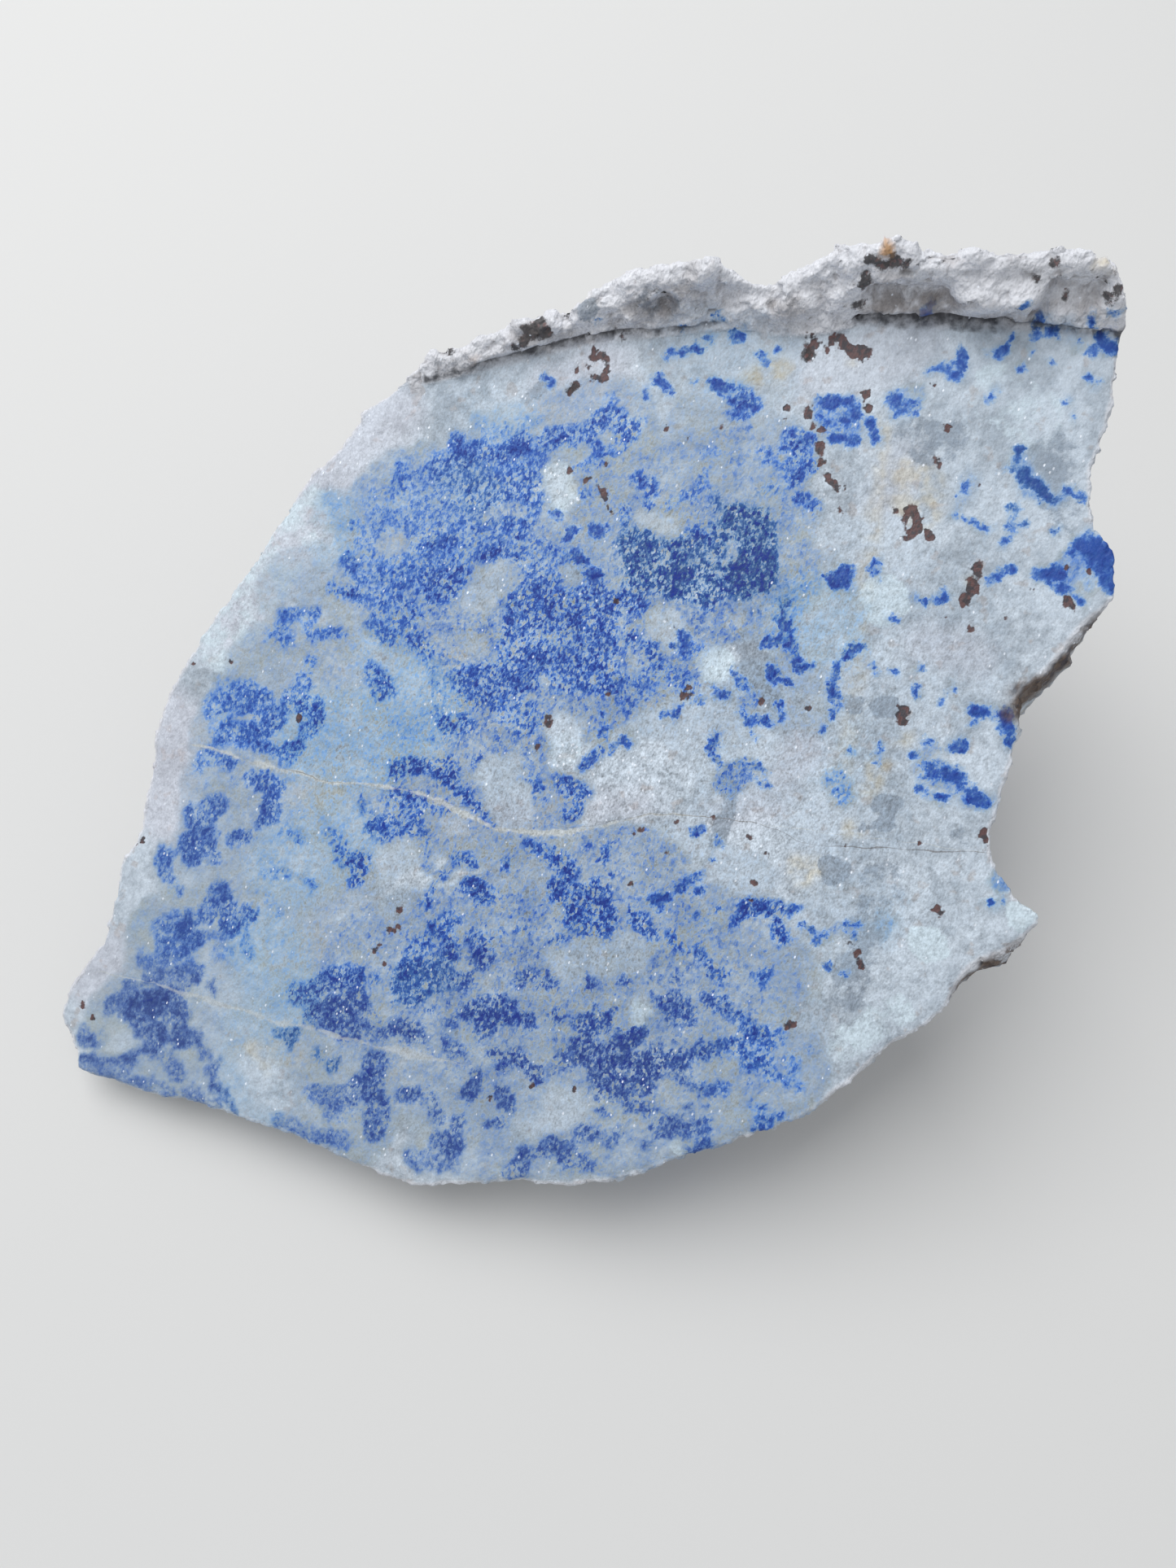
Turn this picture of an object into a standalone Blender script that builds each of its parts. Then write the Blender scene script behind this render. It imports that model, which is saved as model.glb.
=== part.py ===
"""Rough lapis lazuli: one natural stone with one sawn face, resting on a small flat spot.

The sawn face is a plane that leans towards the viewer. A broken lip stands proud of it along the
back, where the saw stopped and the rest was snapped off. Below the face the stone is broken rock
that draws in, all round, to the flat spot it stands on. Lengths below are in millimetres.
"""

import math

import bmesh
import bpy
from mathutils import Vector, noise

MM = 0.001
NAME = "lapis_stone"

# The sawn plane
FACE_HEIGHT = 34.7
FACE_PITCH = math.radians(20.8)
FACE_ROLL = math.radians(11.8)

# The rim of the sawn face seen from straight above, clockwise: (across, back)
LEFT_RIM = [
    (-70.5, -29.5), (-68, -25), (-63, -19), (-61.5, -12.5), (-60.5, -9), (-58, -7),
    (-56, 2.5), (-55.5, 7), (-53.5, 12), (-48, 20), (-43.5, 25), (-38, 31.5),
    (-32.5, 38.5), (-28, 41.5), (-24, 46.5), (-20.5, 48),
]
RIGHT_RIM = [
    (70, 40.5), (70, 35), (69, 32.5), (68.5, 30), (67, 27), (67, 24.5), (67.5, 20.5),
    (69.5, 17.5), (70, 15.5), (70, 13.5), (69, 11), (66, 10), (64, 8), (61.5, 5),
    (58.5, 2.5), (57.5, 1.5), (59, 0), (59, -2.5), (58, -6), (57, -9.5), (56, -13),
    (56, -15.5), (57.5, -18.5), (59, -20.5), (61.5, -22.5), (61, -24), (58.5, -25.5),
    (57, -26.5), (53.5, -27.5), (52, -29),
]
FRONT_RIM = [
    (51.5, -31), (50.5, -33.5), (47, -36), (44.5, -37), (40.5, -40.5), (37.5, -42.5),
    (34.5, -45), (29.5, -47), (24.5, -48.5), (19.5, -50), (17.5, -50.5), (13.5, -52),
    (9, -53), (4, -53.5), (-5, -53), (-10.5, -53.5), (-18, -53.5), (-26, -50.5),
    (-35.5, -46.5), (-42.5, -44.5), (-47.5, -43), (-58.5, -40.5), (-65, -38.5),
    (-67.5, -37), (-68, -34), (-69.5, -31.5),
]

# The broken lip along the back: its foot on the face, and its crest as (across, back, height)
LIP_FOOT = [
    (-18, 47.5), (-13.5, 47.5), (-8, 48), (-3, 48.5), (1, 49), (6, 49.5), (10, 49.5),
    (15.5, 49), (21.5, 49), (26.5, 48), (30.5, 46.5), (35, 46), (39.5, 47), (48, 45.5),
    (55.5, 44), (59, 43.5), (65.5, 42), (69.5, 41),
]
LIP_CREST = [
    (-18.5, 48, 1), (-16.5, 49, 2), (-14.5, 50.5, 2.5), (-11, 50, 2.5), (-6, 51, 3),
    (-0.5, 51, 4), (4, 51, 4.5), (7.5, 52, 5.5), (11.5, 52.5, 6.5), (15.5, 52.5, 7),
    (22, 52, 7), (24, 51, 6), (26, 50, 5), (29, 50, 4.5), (33.5, 50.5, 6),
    (36, 51, 7.5), (40, 49.5, 9), (42.5, 49.5, 9.5), (46.5, 48, 9), (50.5, 47.5, 9),
    (56, 46.5, 8), (59.5, 46.5, 8), (62.5, 46, 8), (66, 45, 7), (68.5, 42, 4.5),
]
# How the lip's wall stands on its foot: (share of the way out, share of the height)
LIP_WALL = [(0.10, 0.30), (0.25, 0.62), (0.55, 0.88)]
# Where the wall falls back to an even ramp: across from, to, and the run in and out of it
RAMP_FROM, RAMP_TO, RAMP_FADE = 26.0, 36.0, 5.0
# How the crest rounds over to the back: (out, down), on a lip at least LIP_FULL high
LIP_BACK = [(1.6, 2.2), (2.6, 6.0)]
LIP_FULL = 6.0

# Chips broken out from under the rim: (across, back), reach along the rim, width of the slope
CHIPS = [((62.0, 5.5), 8.0, 1.5), ((56.0, -27.5), 6.5, 1.3)]
CHIP_DROP = 2.6

# Points of a slice that belong to the rim, counted from the sawn face
RIM_POINTS = 7
WELD = 0.02

# The crumbling edge of the sawn face
EDGE_INSET = 0.5
EDGE_SAG = 0.15
EDGE_DROP = 1.4
EDGE_UNDERCUT = 0.7

# The flat spot that it stands on, clockwise from the left
FLAT_SPOT = [(-17, 4), (-10, 17), (7, 23), (25, 18), (31, 4), (21, -10), (-1, -12)]
FLAT_CENTRE = Vector((8.0, 5.0))

# How the rock draws in from the rim to the flat spot: (share of the way in, share of the drop)
DRAW_IN = [
    (0.01, 0.10), (0.03, 0.24), (0.06, 0.40), (0.12, 0.56), (0.22, 0.71),
    (0.38, 0.83), (0.60, 0.92), (0.82, 0.97),
]
# How many places along the rim its corners are worn down over, and how soon below it
SMOOTH_REACH = 4
WEAR = 2.5
STATION_STEP = 3.0

# Lumps and grit of the broken rock, and how they fade towards the rim and the flat spot
ROUGH_SIZE = 13.0
ROUGH_AMOUNT = 2.0
GRIT_SIZE = 5.0
GRIT_AMOUNT = 0.6
ROUGH_FROM_RIM = 8.0
ROUGH_FROM_SPOT = 3.0

# Fracture facets below the rim: compass direction, dip below level, room left under the rim
FACETS = [
    (2, 18, 2.0), (12, 40, 1.0), (48, 30, 2.0), (40, 50, 1.0), (86, 24, 2.0), (78, 42, 1.5),
    (128, 40, 2.0), (118, 58, 1.0), (165, 56, 2.0), (205, 66, 2.5), (262, 78, 2.5),
    (298, 62, 2.0), (325, 36, 2.0), (345, 52, 1.0), (240, 74, 2.0),
]

STONE_COLOR = (0.50, 0.57, 0.70, 1.0)
STONE_ROUGHNESS = 0.72


def face_height(x, y):
    """Height of the sawn plane over a point of the ground."""
    return FACE_HEIGHT + x * math.tan(FACE_ROLL) + y * math.tan(FACE_PITCH)


def along(points, share):
    """The point at a share of the length of a chain of points."""
    chain = [Vector(p) for p in points]
    lengths = [(b - a).length for a, b in zip(chain, chain[1:])]
    left = share * sum(lengths)
    for a, b, length in zip(chain, chain[1:], lengths):
        if left <= length:
            return a.lerp(b, left / length)
        left -= length
    return chain[-1]


def divided(points, step):
    """The chain of points with every stretch divided so that no step is longer than step."""
    out = []
    for a, b in zip(points, points[1:]):
        a, b = Vector(a), Vector(b)
        count = max(1, math.ceil((b - a).length / step))
        out += [a.lerp(b, i / count) for i in range(count)]
    return out


def stations():
    """Every place round the rim as (foot on the face, crest, height of the lip)."""
    plain_left = divided(LEFT_RIM + [LIP_FOOT[0]], STATION_STEP)
    plain_right = divided(RIGHT_RIM + FRONT_RIM + [LEFT_RIM[0]], STATION_STEP)
    crest = divided(LIP_CREST + [(*RIGHT_RIM[0], 0.0)], STATION_STEP)
    lip = []
    for i, point in enumerate(crest):
        foot = along(LIP_FOOT, i / (len(crest) - 1))
        lip.append((foot, point.to_2d(), point.z))
    left = [(p, p, 0.0) for p in plain_left]
    right = [(p, p, 0.0) for p in plain_right]
    return left + lip + right


def outward(ring, i):
    """The level direction that points out of the stone at place i of a clockwise ring."""
    run = ring[(i + 2) % len(ring)] - ring[i - 2]
    return Vector((-run.y, run.x)).normalized()


def chip_width(point):
    """Width of the broken slope below the rim at a point of it."""
    width = 0.0
    for centre, reach, widest in CHIPS:
        away = (point - Vector(centre)).length / reach
        if away < 1.0:
            width = max(width, widest * (1.0 - away ** 4))
    return width


def ramp_share(across):
    """How far the lip's wall has turned into a ramp: 0 for a wall, 1 for a ramp."""
    outside = max(RAMP_FROM - across, across - RAMP_TO, 0.0)
    return max(0.0, 1.0 - outside / RAMP_FADE)


def smoothed(ring, reach):
    """The ring with its corners worn down by averaging along it."""
    count = len(ring)
    out = []
    for i in range(count):
        near = [ring[(i + k) % count] for k in range(-reach, reach + 1)]
        out.append(sum(near, Vector((0.0, 0.0))) / len(near))
    return out


def flat_spot_edge(direction):
    """Where a level direction from the middle of the flat spot meets its outline."""
    count = len(FLAT_SPOT)
    for i in range(count):
        a = Vector(FLAT_SPOT[i]) - FLAT_CENTRE
        b = Vector(FLAT_SPOT[(i + 1) % count]) - FLAT_CENTRE
        side = b - a
        turn = direction.cross(side)
        if abs(turn) < 1e-9:
            continue
        reach = a.cross(side) / turn
        share = a.cross(direction) / turn
        if reach > 0 and -1e-6 <= share <= 1 + 1e-6:
            return FLAT_CENTRE + direction * reach
    raise ValueError("the flat spot has no edge there")


def roughened(point, amount):
    """A point of the broken rock, moved by coarse lumps and fine grit."""
    lumps = noise.noise_vector(point / ROUGH_SIZE) * ROUGH_AMOUNT
    grit = noise.noise_vector(point / GRIT_SIZE) * GRIT_AMOUNT
    return point + (lumps + grit) * amount


def over_rim(crest_out, width, height):
    """Steps from the top of the rim to its underside: crumbled, chipped, or the lip's back."""
    steps = []
    lowest = LIP_BACK[-1][1]
    for out, down in LIP_BACK:
        crumbled = Vector((*(-crest_out * EDGE_UNDERCUT), -EDGE_DROP)) * (down / lowest)
        chipped = Vector((*(crest_out * width), -CHIP_DROP)) * (down / lowest)
        backed = Vector((*(crest_out * out), -down))
        plain = crumbled.lerp(chipped, min(1.0, width))
        steps.append(plain.lerp(backed, min(1.0, height / LIP_FULL)))
    return steps


def slice_points(place, crest_out, round_rim):
    """The points of one slice, from the edge of the sawn face down to the flat spot."""
    foot, crest, height = place
    edge = foot if height > 0 else crest - crest_out * EDGE_INSET
    profile = [Vector((*edge, face_height(*edge)))]
    ramp = ramp_share(crest.x)
    for step, (out, up) in enumerate(LIP_WALL, start=1):
        even = step / (len(LIP_WALL) + 1)
        at = edge.lerp(crest, out + (even - out) * ramp)
        rise = up + (even - up) * ramp
        profile.append(Vector((*at, face_height(*at) + rise * height)))
    sag = EDGE_SAG if height == 0 else 0.0
    top = Vector((*crest, face_height(*crest) + height - sag))
    profile.append(top)
    profile += [top + step for step in over_rim(crest_out, chip_width(crest), height)]
    under = profile[-1]
    direction = (round_rim - FLAT_CENTRE).normalized()
    spot = flat_spot_edge(direction)
    for inward, drop in DRAW_IN:
        worn = under.to_2d().lerp(round_rim, min(1.0, WEAR * inward))
        at = worn.lerp(spot, inward)
        point = Vector((*at, under.z * (1.0 - drop)))
        amount = min(1.0, ROUGH_FROM_RIM * inward) * min(1.0, ROUGH_FROM_SPOT * (1.0 - drop))
        profile.append(roughened(point, amount))
    profile.append(Vector((*spot, 0.0)))
    return profile


def stone_slices():
    """Every slice of the stone, clockwise round it."""
    places = stations()
    rim = [crest for foot, crest, height in places]
    worn = smoothed(rim, SMOOTH_REACH)
    return [
        slice_points(place, outward(rim, i), worn[i])
        for i, place in enumerate(places)
    ]


def loft(slices):
    """A closed mesh through the slices: the face, the broken sides and the flat spot."""
    bm = bmesh.new()
    rows = [[bm.verts.new(point * MM) for point in points] for points in slices]
    count = len(rows)
    for i in range(count):
        here, there = rows[i], rows[(i + 1) % count]
        for k in range(len(here) - 1):
            bm.faces.new((here[k], there[k], there[k + 1], here[k + 1]))
    bm.faces.new([row[0] for row in reversed(rows)])
    bm.faces.new([row[-1] for row in rows])
    bmesh.ops.remove_doubles(bm, verts=bm.verts, dist=WELD * MM)
    bmesh.ops.recalc_face_normals(bm, faces=bm.faces)
    return bm


def cut_facet(bm, rim, compass, dip, room):
    """Break one large flat facet off the rock, clear of the rim and of the flat spot."""
    turn, fall = math.radians(compass), math.radians(dip)
    level = math.cos(fall)
    normal = Vector((math.sin(turn) * level, math.cos(turn) * level, -math.sin(fall)))
    reach = max(point.dot(normal) for point in rim) + room
    reach = max([reach] + [Vector((*corner, 0.0)).dot(normal) for corner in FLAT_SPOT])
    cut = bmesh.ops.bisect_plane(
        bm,
        geom=bm.verts[:] + bm.edges[:] + bm.faces[:],
        plane_co=normal * reach * MM,
        plane_no=normal,
        clear_outer=True,
    )
    loop = [part for part in cut["geom_cut"] if isinstance(part, bmesh.types.BMEdge)]
    bmesh.ops.holes_fill(bm, edges=loop)


def stone_material():
    """Pale marble with blue, as one even colour."""
    material = bpy.data.materials.new("lapis")
    material.use_nodes = True
    shader = material.node_tree.nodes["Principled BSDF"]
    shader.inputs["Base Color"].default_value = STONE_COLOR
    shader.inputs["Roughness"].default_value = STONE_ROUGHNESS
    shader.inputs["Metallic"].default_value = 0.0
    material.diffuse_color = STONE_COLOR
    return material


def build_stone(collection):
    """The whole stone as one object."""
    slices = stone_slices()
    rim = [point for points in slices for point in points[:RIM_POINTS]]
    bm = loft(slices)
    for compass, dip, room in FACETS:
        cut_facet(bm, rim, compass, dip, room)
    bmesh.ops.remove_doubles(bm, verts=bm.verts, dist=WELD * MM)
    bmesh.ops.triangulate(bm, faces=bm.faces)
    mesh = bpy.data.meshes.new(NAME)
    bm.to_mesh(mesh)
    bm.free()
    mesh.materials.append(stone_material())
    stone = bpy.data.objects.new(NAME, mesh)
    collection.objects.link(stone)
    return stone


def main():
    for old in list(bpy.data.objects):
        bpy.data.objects.remove(old, do_unlink=True)
    collection = bpy.data.collections.new("rough_lapis_lazuli")
    bpy.context.scene.collection.children.link(collection)
    stone = build_stone(collection)
    print(NAME, [round(side / MM, 1) for side in stone.dimensions])


main()
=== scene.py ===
# %% [markdown]
# # Rough lapis lazuli
#
# The piece is one natural stone. It was sawn once, and the sawn face is flat, matt and sugary. The
# saw stopped short of the back edge, where the rest was snapped off, so a broken lip stands there.
# Everything below the face is broken rock with a weathered skin.
#
# The real size and shape come with the frame. This lesson gives the stone its broken surface in
# real geometry, then paints its minerals: white marble, blue lazurite, rust, stains and veins.

# %% Load the frame
import math

import bmesh
import bpy
import numpy as np
from mathutils import Matrix, Vector, noise


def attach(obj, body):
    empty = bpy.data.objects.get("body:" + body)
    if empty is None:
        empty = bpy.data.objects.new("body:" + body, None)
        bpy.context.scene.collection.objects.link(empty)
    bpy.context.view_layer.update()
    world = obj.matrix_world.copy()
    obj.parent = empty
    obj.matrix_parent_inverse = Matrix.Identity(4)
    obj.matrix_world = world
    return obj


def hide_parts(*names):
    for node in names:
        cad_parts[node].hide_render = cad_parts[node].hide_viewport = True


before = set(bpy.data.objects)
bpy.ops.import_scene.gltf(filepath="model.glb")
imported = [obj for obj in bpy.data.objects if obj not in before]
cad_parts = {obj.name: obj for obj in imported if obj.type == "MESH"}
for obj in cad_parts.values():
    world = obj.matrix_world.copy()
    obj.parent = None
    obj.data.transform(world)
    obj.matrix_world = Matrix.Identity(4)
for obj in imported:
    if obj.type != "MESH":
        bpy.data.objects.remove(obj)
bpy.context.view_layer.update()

MM = 0.001
plain_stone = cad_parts["lapis_stone"]

# %% [markdown]
# ## Camera
#
# The photo was taken by hand from above, a little in front of the stone. A perspective camera
# needs three things to match it: where it is, how far it is tipped forward from straight down, and
# its lens. The lens is wide, so the camera has to stand as close as the photographer did, or the
# stone's near and far edges would have the wrong proportion.

# %% Camera at the photo's place
CAMERA_PLACE = Vector((6.2, -55.0, 168.0)) * MM
CAMERA_TIP = math.radians(20.8)
CAMERA_LENS = 25.2
CAMERA_NEAREST = 5 * MM

camera = bpy.data.objects.new("camera", bpy.data.cameras.new("camera"))
camera.location = CAMERA_PLACE
camera.rotation_euler = (CAMERA_TIP, 0, 0)
camera.data.lens = CAMERA_LENS
camera.data.clip_start = CAMERA_NEAREST
bpy.context.scene.collection.objects.link(camera)
bpy.context.scene.camera = camera
print("camera", round(CAMERA_PLACE.length / MM), "mm from the stone's foot")

# %% [markdown]
# ## Floor and light
#
# The floor is plain and pale. The light in the photo is a soft window behind and to the left of
# the stone: the broken lip shades its own front wall, and the shadow falls to the lower right. One
# large area light gives that, and an even sky fills the shadows. A smaller light would give hard
# shadow edges that the photo doesn't have.

# %% Floor
FLOOR_SIDE = 6.0
FLOOR_COLOR = (0.74, 0.735, 0.72, 1)

bpy.ops.mesh.primitive_plane_add(size=FLOOR_SIDE, location=(0, 0, -0.05 * MM))
floor = bpy.context.object
floor.name = "floor"
paper = bpy.data.materials.new("pale_floor")
paper.use_nodes = True
paper.node_tree.nodes["Principled BSDF"].inputs["Base Color"].default_value = FLOOR_COLOR
paper.node_tree.nodes["Principled BSDF"].inputs["Roughness"].default_value = 0.9
floor.data.materials.append(paper)

# %% Light
WINDOW_PLACE = Vector((-0.26, 0.36, 0.84))
WINDOW_SIDE = 0.80
WINDOW_WATTS = 6.7
SKY_COLOR = (0.93, 0.96, 1.0, 1)
SKY_STRENGTH = 0.49

window = bpy.data.objects.new("window", bpy.data.lights.new("window", "AREA"))
window.data.shape = "SQUARE"
window.data.size = WINDOW_SIDE
window.data.energy = WINDOW_WATTS
window.location = WINDOW_PLACE
window.rotation_euler = (-WINDOW_PLACE).to_track_quat("-Z", "Y").to_euler()
bpy.context.scene.collection.objects.link(window)

sky = bpy.data.worlds.new("sky")
sky.use_nodes = True
sky.node_tree.nodes["Background"].inputs["Color"].default_value = SKY_COLOR
sky.node_tree.nodes["Background"].inputs["Strength"].default_value = SKY_STRENGTH
bpy.context.scene.world = sky
bpy.context.scene.view_settings.view_transform = "Standard"
print("window", round(WINDOW_PLACE.length, 2), "m away")

# %% [markdown]
# ## A fine mesh that follows the sawn face
#
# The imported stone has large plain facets. To carry grit and painted minerals it needs an even,
# dense mesh. A voxel remesh gives that, and it keeps the stone one closed skin. The sawn face
# leans, and voxels stand upright, so the copy is first turned until its face lies level. After the
# remesh it is turned back. The face then stays truly flat, in tidy squares.

# %% Find the sawn face
def points_of(mesh):
    """The corners of a mesh in mm, one row each."""
    flat = np.empty(len(mesh.vertices) * 3)
    mesh.vertices.foreach_get("co", flat)
    return flat.reshape(-1, 3) / MM


upward = [side for side in plain_stone.data.polygons if side.normal.z > 0.8]
widest = max(upward, key=lambda side: side.area)
face_normal = widest.normal.copy()
face_point = widest.center / MM


def over_face(at):
    """How far points in mm stand above the sawn plane, measured straight up."""
    sideways = (at[..., 0] - face_point.x) * face_normal.x + (at[..., 1] - face_point.y) * face_normal.y
    return at[..., 2] - face_point.z + sideways / face_normal.z


lean = math.degrees(face_normal.angle(Vector((0, 0, 1))))
print("the sawn face leans", round(lean, 1), "degrees")

# %% Even, dense skin
VOXEL = 0.76 * MM
STAIR_SMOOTHING = 0.5

level = face_normal.rotation_difference(Vector((0, 0, 1))).to_matrix().to_4x4()
sheet = bmesh.new()
sheet.from_mesh(plain_stone.data)
bmesh.ops.remove_doubles(sheet, verts=sheet.verts, dist=0.001 * MM)
bmesh.ops.transform(sheet, matrix=level, verts=sheet.verts)
coarse = bpy.data.meshes.new("coarse")
sheet.to_mesh(coarse)
sheet.free()
blank = bpy.data.objects.new("blank", coarse)
bpy.context.scene.collection.objects.link(blank)
remesh = blank.modifiers.new("even", "REMESH")
remesh.mode = "VOXEL"
remesh.voxel_size = VOXEL
soften = blank.modifiers.new("soften", "SMOOTH")
soften.factor = STAIR_SMOOTHING
soften.iterations = 8
seen = blank.evaluated_get(bpy.context.evaluated_depsgraph_get())
skin = bpy.data.meshes.new_from_object(seen)
skin.transform(level.inverted())
bpy.data.objects.remove(blank)
print("even skin:", len(skin.polygons), "squares")

# %% [markdown]
# ## A map of the marks
#
# Every mark on the stone is a stroke: a path drawn with a round brush, given as a half-width and a
# few points. One point makes a dot. Points are millimetres across and back, on the sawn face. A
# third number lifts a point off the face, for marks on the broken lip. Distance to a stroke is all
# that the paint needs later, and it fades down the broken sides as real colour does.

# %% Distance to a stroke
def on_stone(point):
    """A stroke's point as (across, back, up) in mm."""
    across, back, *lift = point
    flat = np.array((across, back, 0.0))
    flat[2] = sum(lift) - over_face(flat)
    return flat


def away_from(at, path):
    """Distance in mm from every point to a stroke's path."""
    path = [on_stone(point) for point in path]
    nearest = np.full(len(at), np.inf)
    for a, b in zip(path, path[1:] or path):
        run = b - a
        share = np.clip((at - a) @ run / max(run @ run, 1e-9), 0, 1)
        nearest = np.minimum(nearest, np.linalg.norm(at - a - share[:, None] * run, axis=1))
    return nearest


def smooth(x):
    """0 below 0, 1 above 1, and an even S between."""
    x = np.clip(x, 0, 1)
    return x * x * (3 - 2 * x)


# %% [markdown]
# ### Blue clouds
#
# Most of the blue is lazurite scattered as grains through white marble. It shows as clouds that
# are dense in the middle and ragged at the rim. Each cloud is (density, half-width, path). The
# widest ones only carry the haze between the others.

# %% Blue clouds
HAZE = [
    (0.48, 13, [(-16, 28), (-8, 20), (2, 14)]), (0.48, 11, [(-5, 8), (6, 12), (14, 16)]),
    (0.44, 10, [(12, 26), (24, 28)]), (0.46, 9, [(20, 20), (27, 20)]), (0.40, 9, [(-36, 12), (-28, 8), (-22, 2)]),
    (0.40, 10, [(-40, 4), (-42, -6)]), (0.36, 11, [(-22, -4), (-34, -10), (-44, -14)]), (0.42, 9, [(-14, -3), (-4, -6)]),
    (0.46, 13, [(-18, -28), (0, -27), (14, -30), (20, -36)]), (0.44, 9, [(-10, -44), (6, -44), (18, -43)]),
    (0.42, 10, [(-30, -28), (-28, -42)]), (0.44, 8, [(-58, -32), (-48, -36)]), (0.40, 8, [(-52, -22), (-42, -20)]),
    (0.36, 7, [(-40, -33), (-40, -40)]), (0.42, 8, [(0, -16), (12, -17)]), (0.40, 8, [(20, -24), (27, -28)]),
    (0.40, 7, [(24, -38), (30, -40)]), (0.40, 8, [(-4, 36), (8, 38)]), (0.34, 7, [(22, 36), (28, 32)]),
    (0.28, 6, [(34, 17), (36, 10), (33, 5)]), (0.22, 6, [(24, 4), (15, 6)]), (0.16, 7, [(22, -3), (30, -2)]),
    (0.20, 7, [(20, 45), (27, 43)]), (0.14, 9, [(38, 0), (38, -8)]), (0.12, 10, [(40, 16), (48, 8)]),
    (0.10, 10, [(58, 36), (60, 26), (62, 20)]), (0.05, 9, [(44, 38), (46, 30)]), (0.06, 9, [(50, -4), (46, -18)]),
    (0.12, 6, [(-9, 43), (2, 43)]), (0.05, 8, [(36, -32), (44, -26)]), (0.30, 3.5, [(-28.5, 33)]),
    (0.26, 5, [(27, -22), (31, -28), (32, -38)]), (0.20, 4, [(16, -13), (26, -17)]), (0.18, 6, [(34, -24), (40, -22)]),
    (0.34, 8, [(-32, 22), (-27, 14), (-20, 12)]),
]
LEFT_CLOUDS = [
    (0.65, 1.0, [(-38.3, 18.6)]), (0.75, 1.5, [(-36.5, 19), (-35, 16.8)]),
    (0.60, 0.8, [(-38, 15.2)]), (0.75, 1.5, [(-35.5, 20.3), (-31, 20)]),
    (0.70, 1.2, [(-32, 18), (-28, 17)]), (0.70, 1.5, [(-31.5, 14.5), (-33.5, 10)]),
    (0.85, 2.2, [(-45.5, 9.5), (-41, 10.5), (-38.5, 8.5)]), (0.60, 1.2, [(-45, 12.5), (-40.5, 12)]),
    (0.60, 1.0, [(-47.5, 8.5), (-46, 7)]), (0.92, 1.8, [(-44.5, 5.8), (-40, 5.5), (-37, 7)]),
    (0.90, 1.3, [(-39, 3.6), (-35, 2), (-33.5, 4)]), (0.85, 1.9, [(-34.5, 9), (-31.5, 8), (-32, 6)]),
    (0.85, 1.5, [(-48.3, 1.8), (-47, 3.2), (-43.5, 1.8)]), (0.60, 1.2, [(-46.8, -0.8)]),
    (0.85, 1.7, [(-49.5, -4.5), (-45.5, -3.5)]), (0.80, 0.7, [(-43.2, -0.8)]),
    (0.85, 1.6, [(-40, -0.3), (-36.5, -1.2), (-37.8, -5.5)]), (0.90, 0.8, [(-38.8, -6.3), (-37.5, -6)]),
    (0.92, 1.9, [(-50, -8.5), (-47.5, -6.5), (-49, -9.5)]), (0.95, 0.8, [(-50.3, -9.8), (-49, -9.3)]),
    (0.85, 1.2, [(-46.2, -7.5), (-46, -10)]), (0.90, 1.2, [(-43.5, -8.2), (-41.3, -7.5)]),
    (0.95, 1.4, [(-53.2, -9), (-53.3, -12), (-52, -14)]), (0.60, 0.8, [(-38.2, -9.5)]),
    (0.60, 0.7, [(-39.3, -10.8)]), (0.75, 1.2, [(-46.5, -14.6), (-44.5, -14)]),
    (0.92, 1.9, [(-47, -17), (-44, -16.5)]), (0.92, 1.7, [(-43.5, -19), (-41.2, -18)]),
    (0.88, 2.2, [(-54, -19), (-50.5, -18.5)]), (0.88, 2.3, [(-53, -21.5), (-49.5, -20.5)]),
    (0.60, 1.5, [(-47, -20.5), (-45, -20.5)]), (0.75, 1.7, [(-56.5, -23), (-54, -23.5)]),
    (0.80, 1.5, [(-56, -25.5), (-51, -25)]), (0.70, 1.3, [(-50, -23.5), (-48, -25)]),
    (0.90, 1.2, [(-48.8, -26.2)]), (0.90, 0.8, [(-46.9, -28.2), (-46.2, -26.8)]),
    (0.60, 1.3, [(-46, -23.2), (-43, -22)]), (0.75, 1.0, [(-41.3, -21), (-40.8, -23)]),
    (0.50, 0.8, [(-38.5, -21.5)]), (0.50, 2.0, [(-57, -18)]),
]
LEFT_TIP_CLOUDS = [
    (0.95, 1.8, [(-61.5, -29), (-58.5, -27.5)]), (1.00, 2.3, [(-58, -30), (-54.5, -29), (-52, -29.5)]),
    (1.00, 1.8, [(-57, -32), (-54.5, -33), (-55, -34.5)]), (0.85, 1.3, [(-54.5, -27.8), (-50, -27)]),
    (0.90, 1.6, [(-50.5, -31), (-51.5, -33.5), (-48.5, -33.8)]), (0.95, 1.5, [(-66, -33), (-63.5, -33.2)]),
    (0.95, 1.2, [(-66, -36), (-60, -36.5), (-57, -35.8)]), (0.78, 1.4, [(-66, -37.3), (-58, -39), (-53, -40.5)]),
    (0.85, 1.5, [(-53, -36.5), (-51, -38)]), (0.75, 1.6, [(-50, -41), (-46, -42.5)]),
    (0.90, 1.0, [(-48, -36), (-46.5, -36.2)]), (0.80, 1.1, [(-46.5, -38.3), (-44.5, -37)]),
    (0.90, 1.1, [(-46, -39.6), (-44.3, -41), (-43.5, -43)]),
]
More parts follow.
